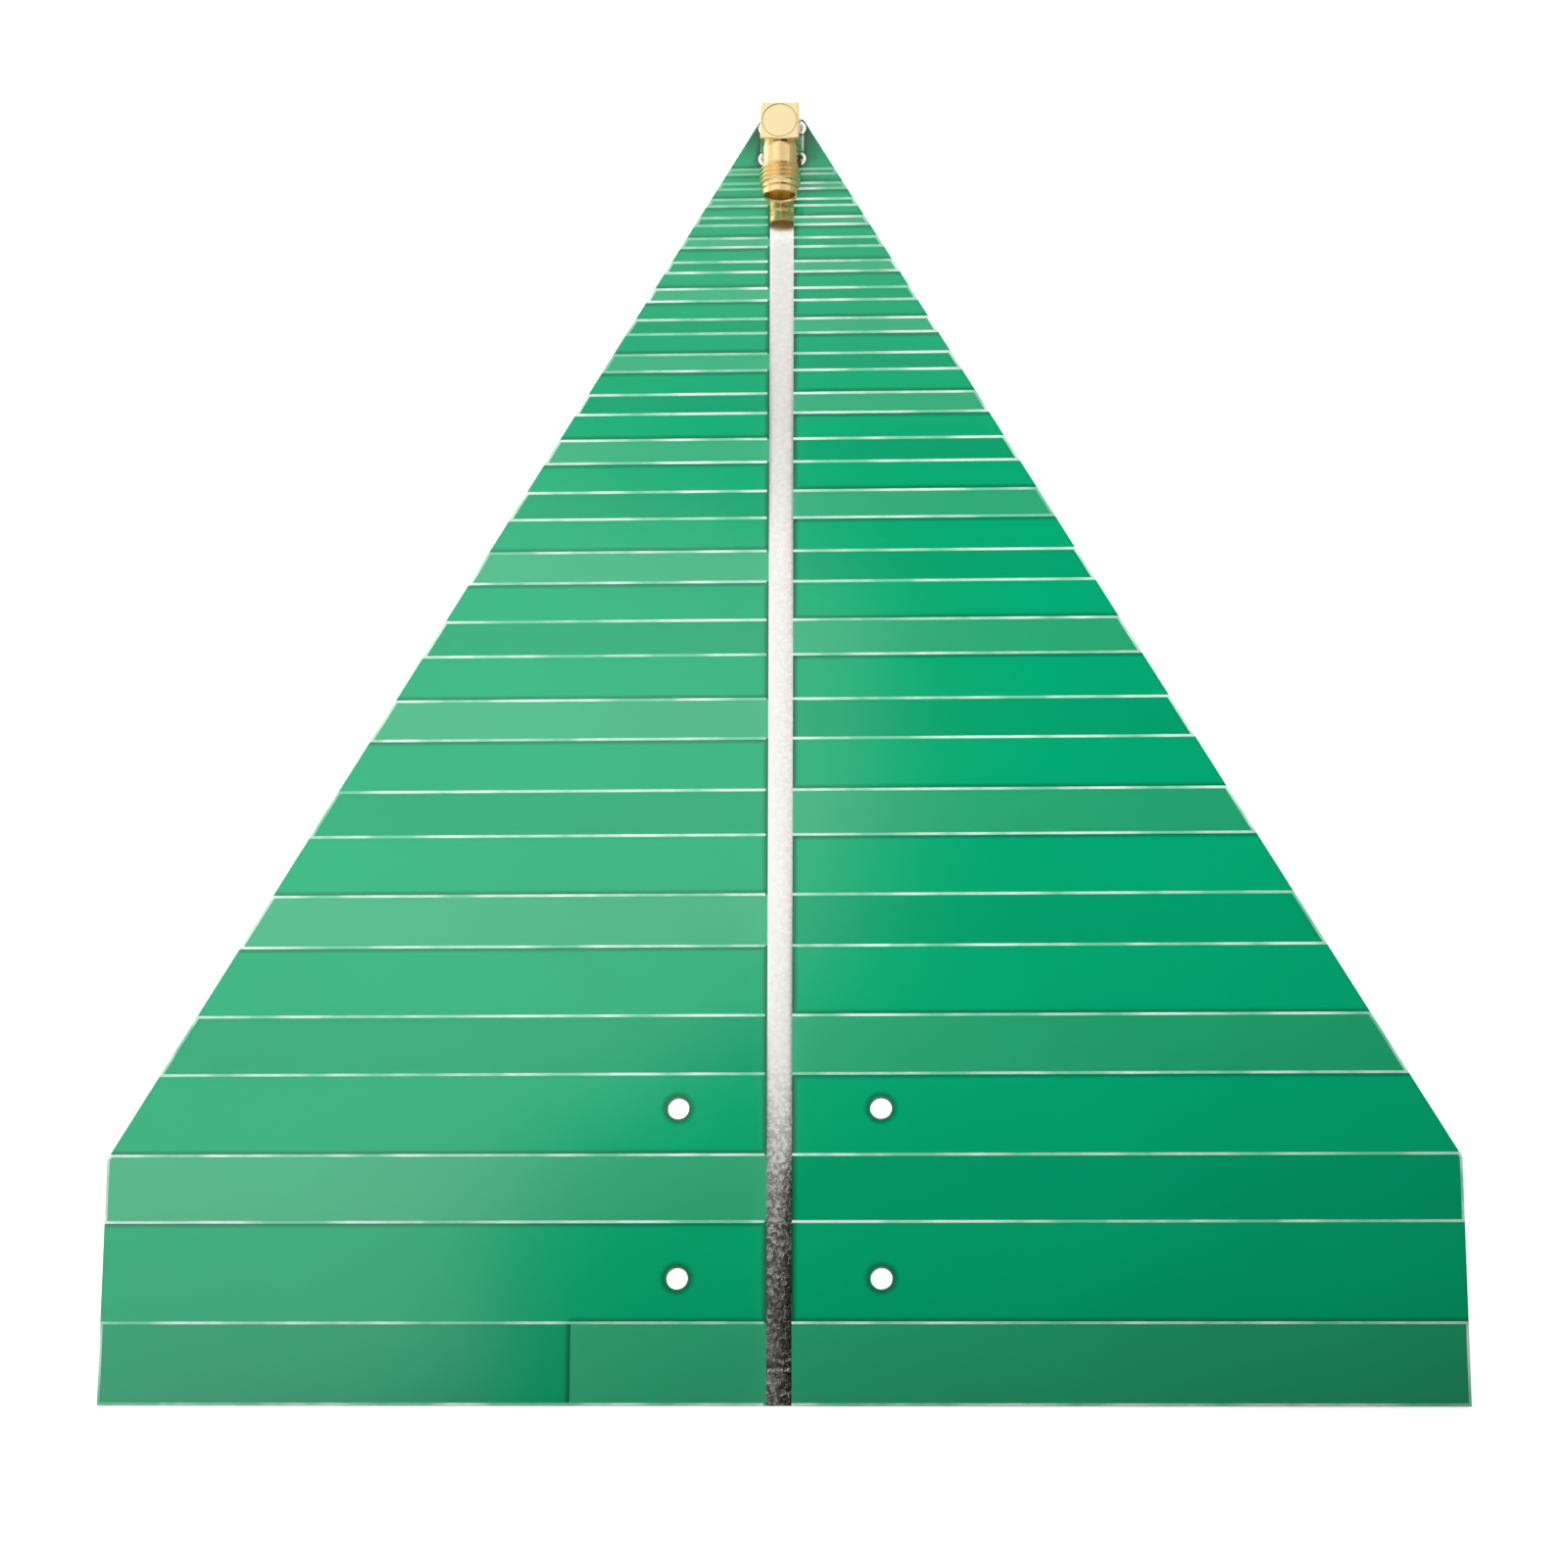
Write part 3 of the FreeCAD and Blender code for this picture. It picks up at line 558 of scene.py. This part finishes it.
class Side(Enum):
    """The board's two faces, by the way that each looks."""

    FRONT = 1
    BACK = -1

    @property
    def near(self) -> str:
        """The copper on this face."""
        return "front_copper" if self is Side.FRONT else "back_copper"

    @property
    def far(self) -> str:
        """The copper on the other face."""
        return "back_copper" if self is Side.FRONT else "front_copper"

    @property
    def coat(self) -> str:
        """The green coat's node on this face."""
        return "front_solder_mask" if self is Side.FRONT else "back_solder_mask"

    @property
    def tin(self) -> str:
        """The tin's node on this face."""
        return "front_boom_tin" if self is Side.FRONT else "back_boom_tin"


@dataclass
class PrintedBoard:
    """The printed board: coats, bare tinned boom, white lines, copper and laminate. Sizes in millimetres."""

    # width of the darker band on the low coat beside the copper's edges
    edge_dark_width: float = 0.9
    bare_coat: float = 0.04
    crown_drop: float = 0.004
    crown_steps: tuple[float, ...] = (0.1, 0.25, 0.5)
    crown_shares: tuple[float, ...] = (1.0, 0.6, 0.25)

    def build(self) -> list[bpy.types.Object]:
        """Make and dress every layer of the board.

        Returns:
            The new pieces.
        """
        made = [self.coat(side) for side in Side]
        made += [self.boom(side) for side in Side]
        self.dress_nodes()
        return made

    def dress_nodes(self) -> None:
        """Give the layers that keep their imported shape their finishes."""
        laminate = GlassEpoxy("glass_epoxy_laminate", "6F7C5C", 0.6).material()
        # copper, etched: a warm metal edge between laminate and coat
        copper = Cloudy("etched_copper", "D08A62", 0.35, 1.0, second="B8714C", patch=0.8).material()
        ink = LegendInk("white_legend_ink", "E4F8EC", 0.5).material()
        # tin over plated copper: a dull bright rim in each hole
        plating = LevelledTin("tinned_hole", "DED9D4", 0.2, 1.0, grain=0.4).material()
        dress = {
            "laminate_board": laminate, "front_copper": copper, "back_copper": copper, "white_legend": ink,
            "leg_hole_plating": plating, "pin_hole_plating": plating,
        }
        for node, material in dress.items():
            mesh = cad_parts[node].data
            mesh.materials.clear()
            mesh.materials.append(material)

    def half_boom(self) -> float:
        """Half the width of the bare boom, in metres."""
        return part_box("back_boom_tin")[1].x

    def arm_edges(self, side: Side) -> list[float]:
        """The places along Y where arms of this face's copper begin and end, in metres."""
        edges = {round(vertex.co.y, 6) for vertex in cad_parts[side.near].data.vertices
                 if abs(abs(vertex.co.x) - self.half_boom()) < NEAR}
        return sorted(edges)

    def coat(self, side: Side) -> bpy.types.Object:
        """Make one face's green coat, cut along the copper under it, with a finish for each ground.

        Args:
            side: The face that it covers.

        Returns:
            The new piece.
        """
        piece = merged_copy(side.coat, f"{side.name.lower()}_green_coat")
        edges = self.arm_edges(Side.FRONT) + self.arm_edges(Side.BACK)
        margins = (-self.edge_dark_width * MM, 0.0, self.edge_dark_width * MM)
        low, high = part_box(side.coat)
        rows = sorted({round(edge + margin, 6) for edge in edges for margin in margins})
        slice_at(piece, 1, [row for row in rows if low.y < row < high.y])
        half_boom = self.half_boom()
        stub = self.stub_end(side)
        columns = [half_boom, half_boom + self.edge_dark_width * MM, stub, stub - self.edge_dark_width * MM,
                   stub + self.edge_dark_width * MM]
        slice_at(piece, 0, [way * column for column in columns for way in (-1, 1)])
        self.mark_edge_dark(piece, side)
        self.lay_grounds(piece, side)
        smooth(piece, 20)
        return hand_over(piece, None, "solder_mask", side.coat)

    def stub_end(self, side: Side) -> float:
        """How far the widest dipole's short stub reaches from the centre line, in metres."""
        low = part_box(side.near)[0].y
        return max(abs(vertex.co.x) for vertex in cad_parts[side.near].data.vertices
                   if abs(vertex.co.y - low) < NEAR)

    def bare_level(self, side: Side) -> float:
        """The height of the coat's outer surface over bare laminate, in metres."""
        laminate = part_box("laminate_board")[1 if side is Side.FRONT else 0].z
        return laminate + side.value * self.bare_coat * MM

    def mark_edge_dark(self, piece: bpy.types.Object, side: Side) -> None:
        """Write how near each low point of the coat lies to the copper's edge, from 0 to 1."""
        copper = tree_of(side.near)
        bare = self.bare_level(side)
        edge_dark = piece.data.attributes.new("edge_dark", "FLOAT", "POINT")
        for vertex, mark in zip(piece.data.vertices, edge_dark.data):
            low = abs(vertex.co.z - bare) < NEAR / 2
            distance = copper.find_nearest(vertex.co)[3]
            mark.value = max(0.0, 1 - distance / (self.edge_dark_width * MM)) if low else 0.0

    def lay_grounds(self, piece: bpy.types.Object, side: Side) -> None:
        """Give each face of the coat the finish for what lies under it."""
        tag = side.name.lower()
        for finish in (
            SolderMask(f"{tag}_mask_over_glass", "00AE76", 0.6, specular=0.0),
            SolderMask(f"{tag}_mask_over_copper", "0AAD74", 0.35, metallic=0.06, specular=0.9,
                       weave_depth=0.0002),
            SolderMask(f"{tag}_mask_over_far_copper", "00A671", 0.6, specular=0.0),
        ):
            piece.data.materials.append(finish.material())
        near, far = tree_of(side.near), tree_of(side.far)
        inwards = Vector((0, 0, -side.value))
        for face in piece.data.polygons:
            start = face.center - inwards * 0.1 * MM
            if near.ray_cast(start, inwards)[0] is not None:
                face.material_index = 1
            elif far.ray_cast(start, inwards)[0] is not None:
                face.material_index = 2

    def boom(self, side: Side) -> bpy.types.Object:
        """Make one face's bare tinned boom, with its skin rounded off towards the long edges.

        Args:
            side: The face that it is on.

        Returns:
            The new piece.
        """
        piece = merged_copy(side.tin, f"{side.name.lower()}_tinned_boom")
        half_boom = self.half_boom()
        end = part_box("back_boom_tin")[1].y
        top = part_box(side.tin)[1 if side is Side.FRONT else 0].z
        columns = [half_boom - step * MM for step in self.crown_steps]
        slice_at(piece, 0, [way * column for column in columns for way in (-1, 1)])
        edit(piece)
        for column, share in zip([half_boom, *columns], self.crown_shares):
            pick(piece, "VERT", lambda spot: (abs(abs(spot.x) - column) < NEAR and spot.y < end + NEAR
                                              and abs(spot.z - top) < NEAR / 10))
            bpy.ops.transform.translate(value=(0, 0, -side.value * share * self.crown_drop * MM))
        leave_edit()
        smooth(piece, 20)
        tin = LevelledTin(f"{side.name.lower()}_levelled_tin", "FCFAF5", 0.12, 1.0).material()
        return hand_over(piece, tin, "tin", side.tin)


# Jack

@dataclass
class RightAngleJack:
    """The right-angle threaded jack on its four legs. Sizes in millimetres from the jack's own centre."""

    neck: float = 5.2
    thread: float = 6.35
    pitch: float = 25.4 / 36
    thread_depth: float = 0.38
    crest: float = 0.09
    relief: float = 5.0
    nose: float = 5.5
    mouth: float = 4.6
    bore: float = 4.1
    seat_end: float = 2.1
    neck_end: float = 6.5
    thread_end: float = 10.0
    relief_end: float = 10.3
    nose_end: float = 11.2
    mouth_depth: float = 1.93
    chamfer: float = 0.2
    run_out: float = 0.2
    steps: int = 96

    def build(self) -> list[bpy.types.Object]:
        """Make and dress the jack.

        Returns:
            The new pieces.
        """
        turned_gold = GoldPlate("gold_on_turned_brass", "F5D99B", 0.26, 1.0).material()
        milled_gold = GoldPlate("gold_on_milled_brass", "EEDBA9", 0.13, 1.0, tool_feed=0.2, depth=0.0003,
                                along="X").material()
        self.dress_inside()
        return [
            hand_over(self.barrel(turned_gold), None, "gold", "jack_barrel"),
            hand_over(self.smoothed("jack_block", "jack_housing"), milled_gold, "gold", "jack_block"),
            hand_over(self.smoothed("jack_cap", "jack_top_cap"), milled_gold, "gold", "jack_cap"),
        ]

    def dress_inside(self) -> None:
        """Give the contact, the pin and the insulators their finishes."""
        contact = GoldPlate("gold_on_spring_bronze", "F2C874", 0.2, 1.0).material()
        # fluoropolymer, turned from rod: a waxy, clean white
        fluoropolymer = Cloudy("white_fluoropolymer", "F2F0EA", 0.4, second="E2DFD6", patch=0.6).material()
        for node, material in {
            "socket_contact": contact, "centre_pin": contact,
            "barrel_insulator": fluoropolymer, "pin_insulator": fluoropolymer,
        }.items():
            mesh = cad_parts[node].data
            mesh.materials.clear()
            mesh.materials.append(material)

    def centre(self) -> Vector:
        """The crossing of the jack's two axes, in metres."""
        low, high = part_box("jack_block")
        barrel_low, barrel_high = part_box("jack_barrel")
        return Vector(((low.x + high.x) / 2, (low.y + high.y) / 2, (barrel_low.z + barrel_high.z) / 2))

    def smoothed(self, node: str, name: str) -> bpy.types.Object:
        """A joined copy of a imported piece, shaded smooth over its rounded edges."""
        piece = merged_copy(node, name)
        smooth(piece, 35)
        return piece

    def barrel(self, gold: bpy.types.Material) -> bpy.types.Object:
        """Turn the barrel and wind its thread on the core.

        Args:
            gold: The finish of its outside.

        Returns:
            One piece: the turned wall and the thread's ridge.
        """
        bore, mouth, neck = self.bore / 2, self.mouth / 2, self.neck / 2
        core = self.thread / 2 - self.thread_depth
        relief, nose, chamfer = self.relief / 2, self.nose / 2, self.chamfer
        face = self.nose_end - self.mouth_depth
        wall = turned("threaded_barrel", [
            (bore, -self.seat_end), (bore, -face), (mouth, -face), (mouth, -(self.nose_end - chamfer)),
            (mouth + chamfer, -self.nose_end), (nose - 0.1, -self.nose_end), (nose, -(self.nose_end - 0.1)),
            (nose, -(self.relief_end + 0.06)), (nose - 0.06, -self.relief_end), (relief, -self.relief_end),
            (relief, -self.thread_end), (core, -self.thread_end), (core, -self.neck_end),
            (core + 0.12, -self.neck_end), (core + 0.12, -(self.neck_end - 0.001)), (neck, -(self.neck_end - 0.001)),
            (neck, -self.seat_end), (bore, -self.seat_end)], self.steps)
        ridge = self.ridge(core)
        select_only(wall)
        ridge.select_set(True)
        bpy.ops.object.join()
        # darker, deeper gold on the bore's faces: painted shade and painted gold-on-gold reflection inside the mouth
        bore_gold_painted_shade = GoldPlate("gold_in_the_bore_painted_shade", "E0AA44", 0.3, 1.0).material()
        for finish in (gold, bore_gold_painted_shade):
            wall.data.materials.append(finish)
        for face in wall.data.polygons:
            if math.hypot(face.center.x, face.center.z) < (mouth + chamfer / 4) * MM:
                face.material_index = 1
        shift(wall, self.centre())
        smooth(wall, 35)
        return wall

    def ridge(self, core: float) -> bpy.types.Object:
        """Wind the thread's ridge, fading into the core at both ends.

        Args:
            core: The core's radius in millimetres.

        Returns:
            The ridge round the Y axis.
        """
        turns = (self.thread_end - self.neck_end) / self.pitch - 1
        outer, sink = self.thread / 2, core - 0.05
        half_foot, half_crest = self.pitch * 0.46, self.crest / 2
        start = -(self.thread_end - self.pitch / 2)
        piece = profile("thread_ridge", [
            (sink, start - half_foot), (core, start - half_foot), (outer, start - half_crest),
            (outer, start + half_crest), (core, start + half_foot), (sink, start + half_foot),
            (sink, start - half_foot)])
        bpy.ops.mesh.remove_doubles(threshold=JOIN_DISTANCE)
        leave_edit()
        winding = piece.modifiers.new("winding", "SCREW")
        winding.axis = "Y"
        winding.angle = math.tau * turns
        winding.screw_offset = self.pitch * turns * MM
        winding.steps = winding.render_steps = round(self.steps * turns)
        winding.use_normal_calculate = True
        bpy.ops.object.modifier_apply(modifier=winding.name)
        edit(piece)
        bpy.ops.mesh.select_mode(type="EDGE")
        bpy.ops.mesh.select_all(action="DESELECT")
        bpy.ops.mesh.select_non_manifold()
        bpy.ops.mesh.edge_face_add()
        close_up()
        leave_edit()
        self.fade(piece, core * MM, start * MM, turns)
        return piece

    def fade(self, piece: bpy.types.Object, core: float, start: float, turns: float) -> None:
        """Lower the ridge to the core over the first and last part of a turn."""
        for vertex in piece.data.vertices:
            radius = math.hypot(vertex.co.x, vertex.co.z)
            wound = (vertex.co.y - start) / (self.pitch * MM)
            nearest = min(wound, turns - wound)
            keep = min(1.0, max(0.0, nearest / self.run_out))
            if radius > core:
                scale = (core + (radius - core) * keep) / radius
                vertex.co.x *= scale
                vertex.co.z *= scale


# Solder

@dataclass
class SolderJoints:
    """The solder of the four legs and the centre pin behind the board. Sizes in millimetres."""

    hollow: float = 0.62
    curve_steps: int = 8
    root: float = 0.025
    fill_dip: float = 0.1
    steps: int = 48

    def build(self) -> list[bpy.types.Object]:
        """Make a leg's joint once, copy it to the four legs, and make the pin's joint.

        Returns:
            The new pieces.
        """
        # tin solder, set from the melt: bright with cloudy patches
        solder = Cloudy("bright_solder", "E4E0DC", 0.16, 1.0, second="C8C4C0", patch=0.5, depth=0.01).material()
        nodes = [node for node in sorted(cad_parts) if node.startswith("leg_solder_")]
        pattern = self.joint("leg_solder_pattern", nodes[0], 0.45)
        made = []
        for node in nodes:
            low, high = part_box(node)
            piece = bpy.data.objects.new(node.replace("leg_solder", "leg_fillet"), pattern.data.copy())
            bpy.context.scene.collection.objects.link(piece)
            shift(piece, Vector(((low.x + high.x) / 2, (low.y + high.y) / 2, 0)))
            made.append(hand_over(piece, solder, "solder", node))
        bpy.data.objects.remove(pattern)
        low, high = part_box("pin_solder")
        pin = self.joint("pin_fillet", "pin_solder", 0.5)
        shift(pin, Vector(((low.x + high.x) / 2, (low.y + high.y) / 2, 0)))
        made.append(hand_over(pin, solder, "solder", "pin_solder"))
        return made

    def joint(self, name: str, node: str, neck_share: float) -> bpy.types.Object:
        """Turn one joint: a hollow fillet down the lead, and the fill in the plated hole.

        Args:
            name: The new piece's name.
            node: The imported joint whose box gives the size.
            neck_share: The fillet's radius at the lead, as a share of the land's radius.

        Returns:
            The joint, upright on the Z axis.
        """
        low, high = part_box(node)
        land = (high.x - low.x) / 2 / MM
        foot, top = low.z / MM, high.z / MM
        neck = land * neck_share
        fillet = []
        for step in range(self.curve_steps + 1):
            turn = step / self.curve_steps * math.pi / 2
            radius = land - (land - neck) * math.sin(turn)
            height = self.root - (self.root - foot) * (1 - math.cos(turn))
            fillet.append((radius, height))
        fill = land * self.hollow
        points = [(0.0, foot), *reversed(fillet), (fill, self.root), (fill, top),
                  (fill * 0.7, top - 0.8 * self.fill_dip), (0.0, top - self.fill_dip)]
        piece = turned(name, points, self.steps)
        stand_up(piece)
        smooth(piece, 40)
        return piece


# Studio

@dataclass
class Studio:
    """White floor, soft light from the upper left, cards that the gloss mirrors, and the camera."""

    camera_place: tuple[float, float, float] = (23.3966, -52.1457, 528.1465)
    camera_right: tuple[float, float, float] = (0.99907949, 0.00249225, -0.04282467)
    camera_down: tuple[float, float, float] = (-0.00659402, -0.97752335, -0.21072402)
    camera_forward: tuple[float, float, float] = (-0.0423873, 0.21081244, -0.9766071)
    lens: float = 82.125
    ambient: float = 0.15
    lamp_power: float = 1.88
    lamp_size: float = 0.5
    lamp_place: tuple[float, float, float] = (-0.088, 0.061, 0.328)
    lamp_aim: tuple[float, float, float] = (-0.31, 2.0, -1.0)
    card_height: float = 0.6
    window_card_height: float = 0.61
    boom_card_height: float = 0.0316
    side_card_height: float = 0.1
    floor_card_height: float = -0.0006
    floor_glow: float = 0.8

    def build(self) -> None:
        """Set up the floor, the world, the lamp, the cards and the camera."""
        self.floor()
        self.world()
        self.lamp()
        self.cards()
        self.camera()

    def floor(self) -> None:
        """Lay a pale floor just under the jack's leads."""
        under = CAD_BOX[0].z - 0.05 * MM
        bpy.ops.object.select_all(action="DESELECT")
        bpy.ops.mesh.primitive_plane_add(size=4.0, location=(0, 0, under))
        floor = bpy.context.object
        floor.name = "studio_floor"
        material = bpy.data.materials.new("white_studio_floor")
        material.use_nodes = True
        tree = material.node_tree
        tree.nodes.clear()
        matt = add_node(tree, "ShaderNodeBsdfDiffuse", {"Color": linear("F4F4F4")})
        glow = add_node(tree, "ShaderNodeEmission", {"Color": linear("FFFFFF")},
                        {"Strength": self.seen(tree, self.floor_glow)})
        both = add_node(tree, "ShaderNodeAddShader", links={0: matt.outputs[0], 1: glow.outputs[0]})
        add_node(tree, "ShaderNodeOutputMaterial", links={"Surface": both.outputs[0]})
        floor.data.materials.append(material)

    def seen(self, tree: bpy.types.NodeTree, strength: float) -> bpy.types.NodeSocket:
        """A strength that only camera, glossy and transmitted rays see."""
        path = add_node(tree, "ShaderNodeLightPath")
        first = add_node(tree, "ShaderNodeMath", {"operation": "MAXIMUM"}, {
            0: path.outputs["Is Camera Ray"], 1: path.outputs["Is Glossy Ray"]})
        either = add_node(tree, "ShaderNodeMath", {"operation": "MAXIMUM"}, {
            0: first.outputs[0], 1: path.outputs["Is Transmission Ray"]})
        scaled = add_node(tree, "ShaderNodeMath", {"operation": "MULTIPLY", 1: strength}, {0: either.outputs[0]})
        return scaled.outputs[0]

    def world(self) -> None:
        """White to the eye and to gloss, soft and weaker as light on the object."""
        world = bpy.data.worlds.new("studio_world")
        bpy.context.scene.world = world
        world.use_nodes = True
        tree = world.node_tree
        tree.nodes.clear()
        extra = self.seen(tree, 1.0 - self.ambient)
        level = add_node(tree, "ShaderNodeMath", {"operation": "ADD", 1: self.ambient}, {0: extra})
        white = add_node(tree, "ShaderNodeBackground", {"Color": linear("FFFFFF")}, {"Strength": level.outputs[0]})
        add_node(tree, "ShaderNodeOutputWorld", links={"Surface": white.outputs[0]})

    def lamp(self) -> None:
        """Hang one large soft lamp at the left, turned to the tip, which no gloss shows."""
        data = bpy.data.lights.new("soft_lamp", "AREA")
        data.shape = "SQUARE"
        data.size = self.lamp_size
        data.energy = self.lamp_power
        # else the rough coat still shows a pale gloss of the lamp
        data.cycles.use_multiple_importance_sampling = False
        lamp = bpy.data.objects.new("soft_lamp", data)
        lamp.location = self.lamp_place
        lamp.rotation_euler = Vector(self.lamp_aim).to_track_quat("-Z", "Y").to_euler()
        lamp.visible_camera = False
        lamp.visible_glossy = False
        bpy.context.scene.collection.objects.link(lamp)

    def card(self, name: str, corners: list[Point], height: float, levels: list[Point]) -> None:
        """Hang a flat card that only glossy rays see.

        Args:
            name: The card's name.
            corners: Its outline seen from above, in millimetres.
            height: Its height in metres.
            levels: Pairs of a place along Y in millimetres and the brightness there, where 1 is white.
        """
        stops = [Vector((across * MM, up * MM, height)) for across, up in corners]
        bpy.ops.object.select_all(action="DESELECT")
        bpy.ops.mesh.primitive_plane_add(size=MM, location=stops[0])
        card = bpy.context.object
        card.name = name
        bpy.ops.object.transform_apply(location=True)
        edit(card)
        bpy.ops.mesh.merge(type="CENTER")
        for start, stop in zip(stops, stops[1:] + stops[:1]):
            bpy.ops.mesh.extrude_region_move(TRANSFORM_OT_translate={"value": stop - start})
        bpy.ops.mesh.select_all(action="SELECT")
        bpy.ops.mesh.remove_doubles(threshold=JOIN_DISTANCE)
        bpy.ops.mesh.select_all(action="SELECT")
        bpy.ops.mesh.edge_face_add()
        leave_edit()
        material = bpy.data.materials.new(name)
        material.use_nodes = True
        tree = material.node_tree
        tree.nodes.clear()
        low, high = levels[0][0], levels[-1][0]
        # the ramp holds no colour over 1, so the strength carries what is brighter than white
        peak = max(1.0, *(level for _, level in levels))
        place = add_node(tree, "ShaderNodeSeparateXYZ", links={
            0: add_node(tree, "ShaderNodeTexCoord").outputs["Object"]})
        along = add_node(tree, "ShaderNodeMapRange", {"From Min": low * MM, "From Max": high * MM},
                         {"Value": place.outputs["Y"]})
        ramp = add_node(tree, "ShaderNodeValToRGB", links={"Fac": along.outputs["Result"]})
        ends = ramp.color_ramp.elements
        for index, (spot, level) in enumerate(levels):
            share = (spot - low) / (high - low)
            stop = ends[0] if index == 0 else ends[-1] if index == len(levels) - 1 else ends.new(share)
            stop.color = (level / peak, level / peak, level / peak, 1.0)
        glow = add_node(tree, "ShaderNodeEmission", {"Strength": peak}, {"Color": ramp.outputs["Color"]})
        add_node(tree, "ShaderNodeOutputMaterial", links={"Surface": glow.outputs[0]})
        card.data.materials.append(material)
        for flag in ("visible_camera", "visible_diffuse", "visible_shadow", "visible_transmission",
                     "visible_volume_scatter"):
            setattr(card, flag, False)

    def cards(self) -> None:
        """Hang what the gloss mirrors: a dark card, a window at the left, grey ones, and a strip for the boom."""
        self.card("dark_card", [
            (-600, -500), (-600, -90), (-300, -70), (-113, 2), (-120, 38), (-106, 74), (-68, 94), (-20, 122),
            (0, 160), (5, 226), (-2, 252), (-28, 274), (-85, 292), (-120, 306), (-60, 318), (700, 326),
            (700, -500)], self.card_height, [(-500, 0.0), (330, 0.0)])
        self.card("grey_card", [(700, 326), (-60, 318), (-120, 306), (-320, 352), (700, 352)],
                  self.card_height, [(300, 0.4), (360, 0.4)])
        self.card("window_card", [(-700, -60), (-20, -60), (-20, 600), (-700, 600)], self.window_card_height,
                  [(-60, 1.22), (600, 1.22)])
        self.card("outer_card", [(-2000, -2000), (-2000, -500), (700, -500), (700, 352), (2000, 352), (2000, -2000)],
                  self.card_height, [(-2000, 0.45), (360, 0.45)])
        right_half = [(-2000, 0.4), (2000, 0.4)]
        self.card("side_card", [(250, -2000), (2000, -2000), (2000, 2000), (250, 2000)], self.side_card_height,
                  right_half)
        self.card("floor_card", [(4, -2000), (2000, -2000), (2000, 2000), (4, 2000)], self.floor_card_height,
                  right_half)
        self.card("boom_card", [
            (-3.6, -50), (-2.2, -50), (-2.3, -16.0), (-1.7, -3.4), (-0.8, 5.1), (1.0, 9.3), (1.0, 160),
            (-3.6, 160)], self.boom_card_height, [
            (-50, 0.6), (-16, 0.5), (5, 0.6), (13, 0.72), (22, 0.85), (34, 0.94), (50, 1.0), (106, 1.0),
            (118, 0.88), (130, 0.8), (144, 0.86), (160, 0.88)])

    def camera(self) -> None:
        """Place the camera where the photograph was taken from."""
        data = bpy.data.cameras.new("camera")
        data.sensor_width = 36.0
        data.lens = self.lens
        data.clip_start = 0.01
        data.clip_end = 20.0
        camera = bpy.data.objects.new("camera", data)
        right, down, forward = (Vector(way) for way in (self.camera_right, self.camera_down, self.camera_forward))
        turn = camera.matrix_world.to_3x3()
        turn.col[0], turn.col[1], turn.col[2] = right, -down, -forward
        camera.matrix_world = turn.to_4x4()
        camera.location = Vector(self.camera_place) * MM
        bpy.context.scene.collection.objects.link(camera)
        bpy.context.scene.camera = camera


def main() -> None:
    """Build the board, the jack, the solder and the studio, and report each piece."""
    logging.basicConfig(level=logging.INFO, format="%(name)s: %(message)s")
    for assembly in (PrintedBoard(), RightAngleJack(), SolderJoints()):
        for piece in assembly.build():
            LOG.info("%s: %s, %d faces", type(assembly).__name__, piece.name, len(piece.data.polygons))
    Studio().build()
    bpy.context.scene.view_settings.view_transform = "Standard"


if __name__ == "__main__":
    main()
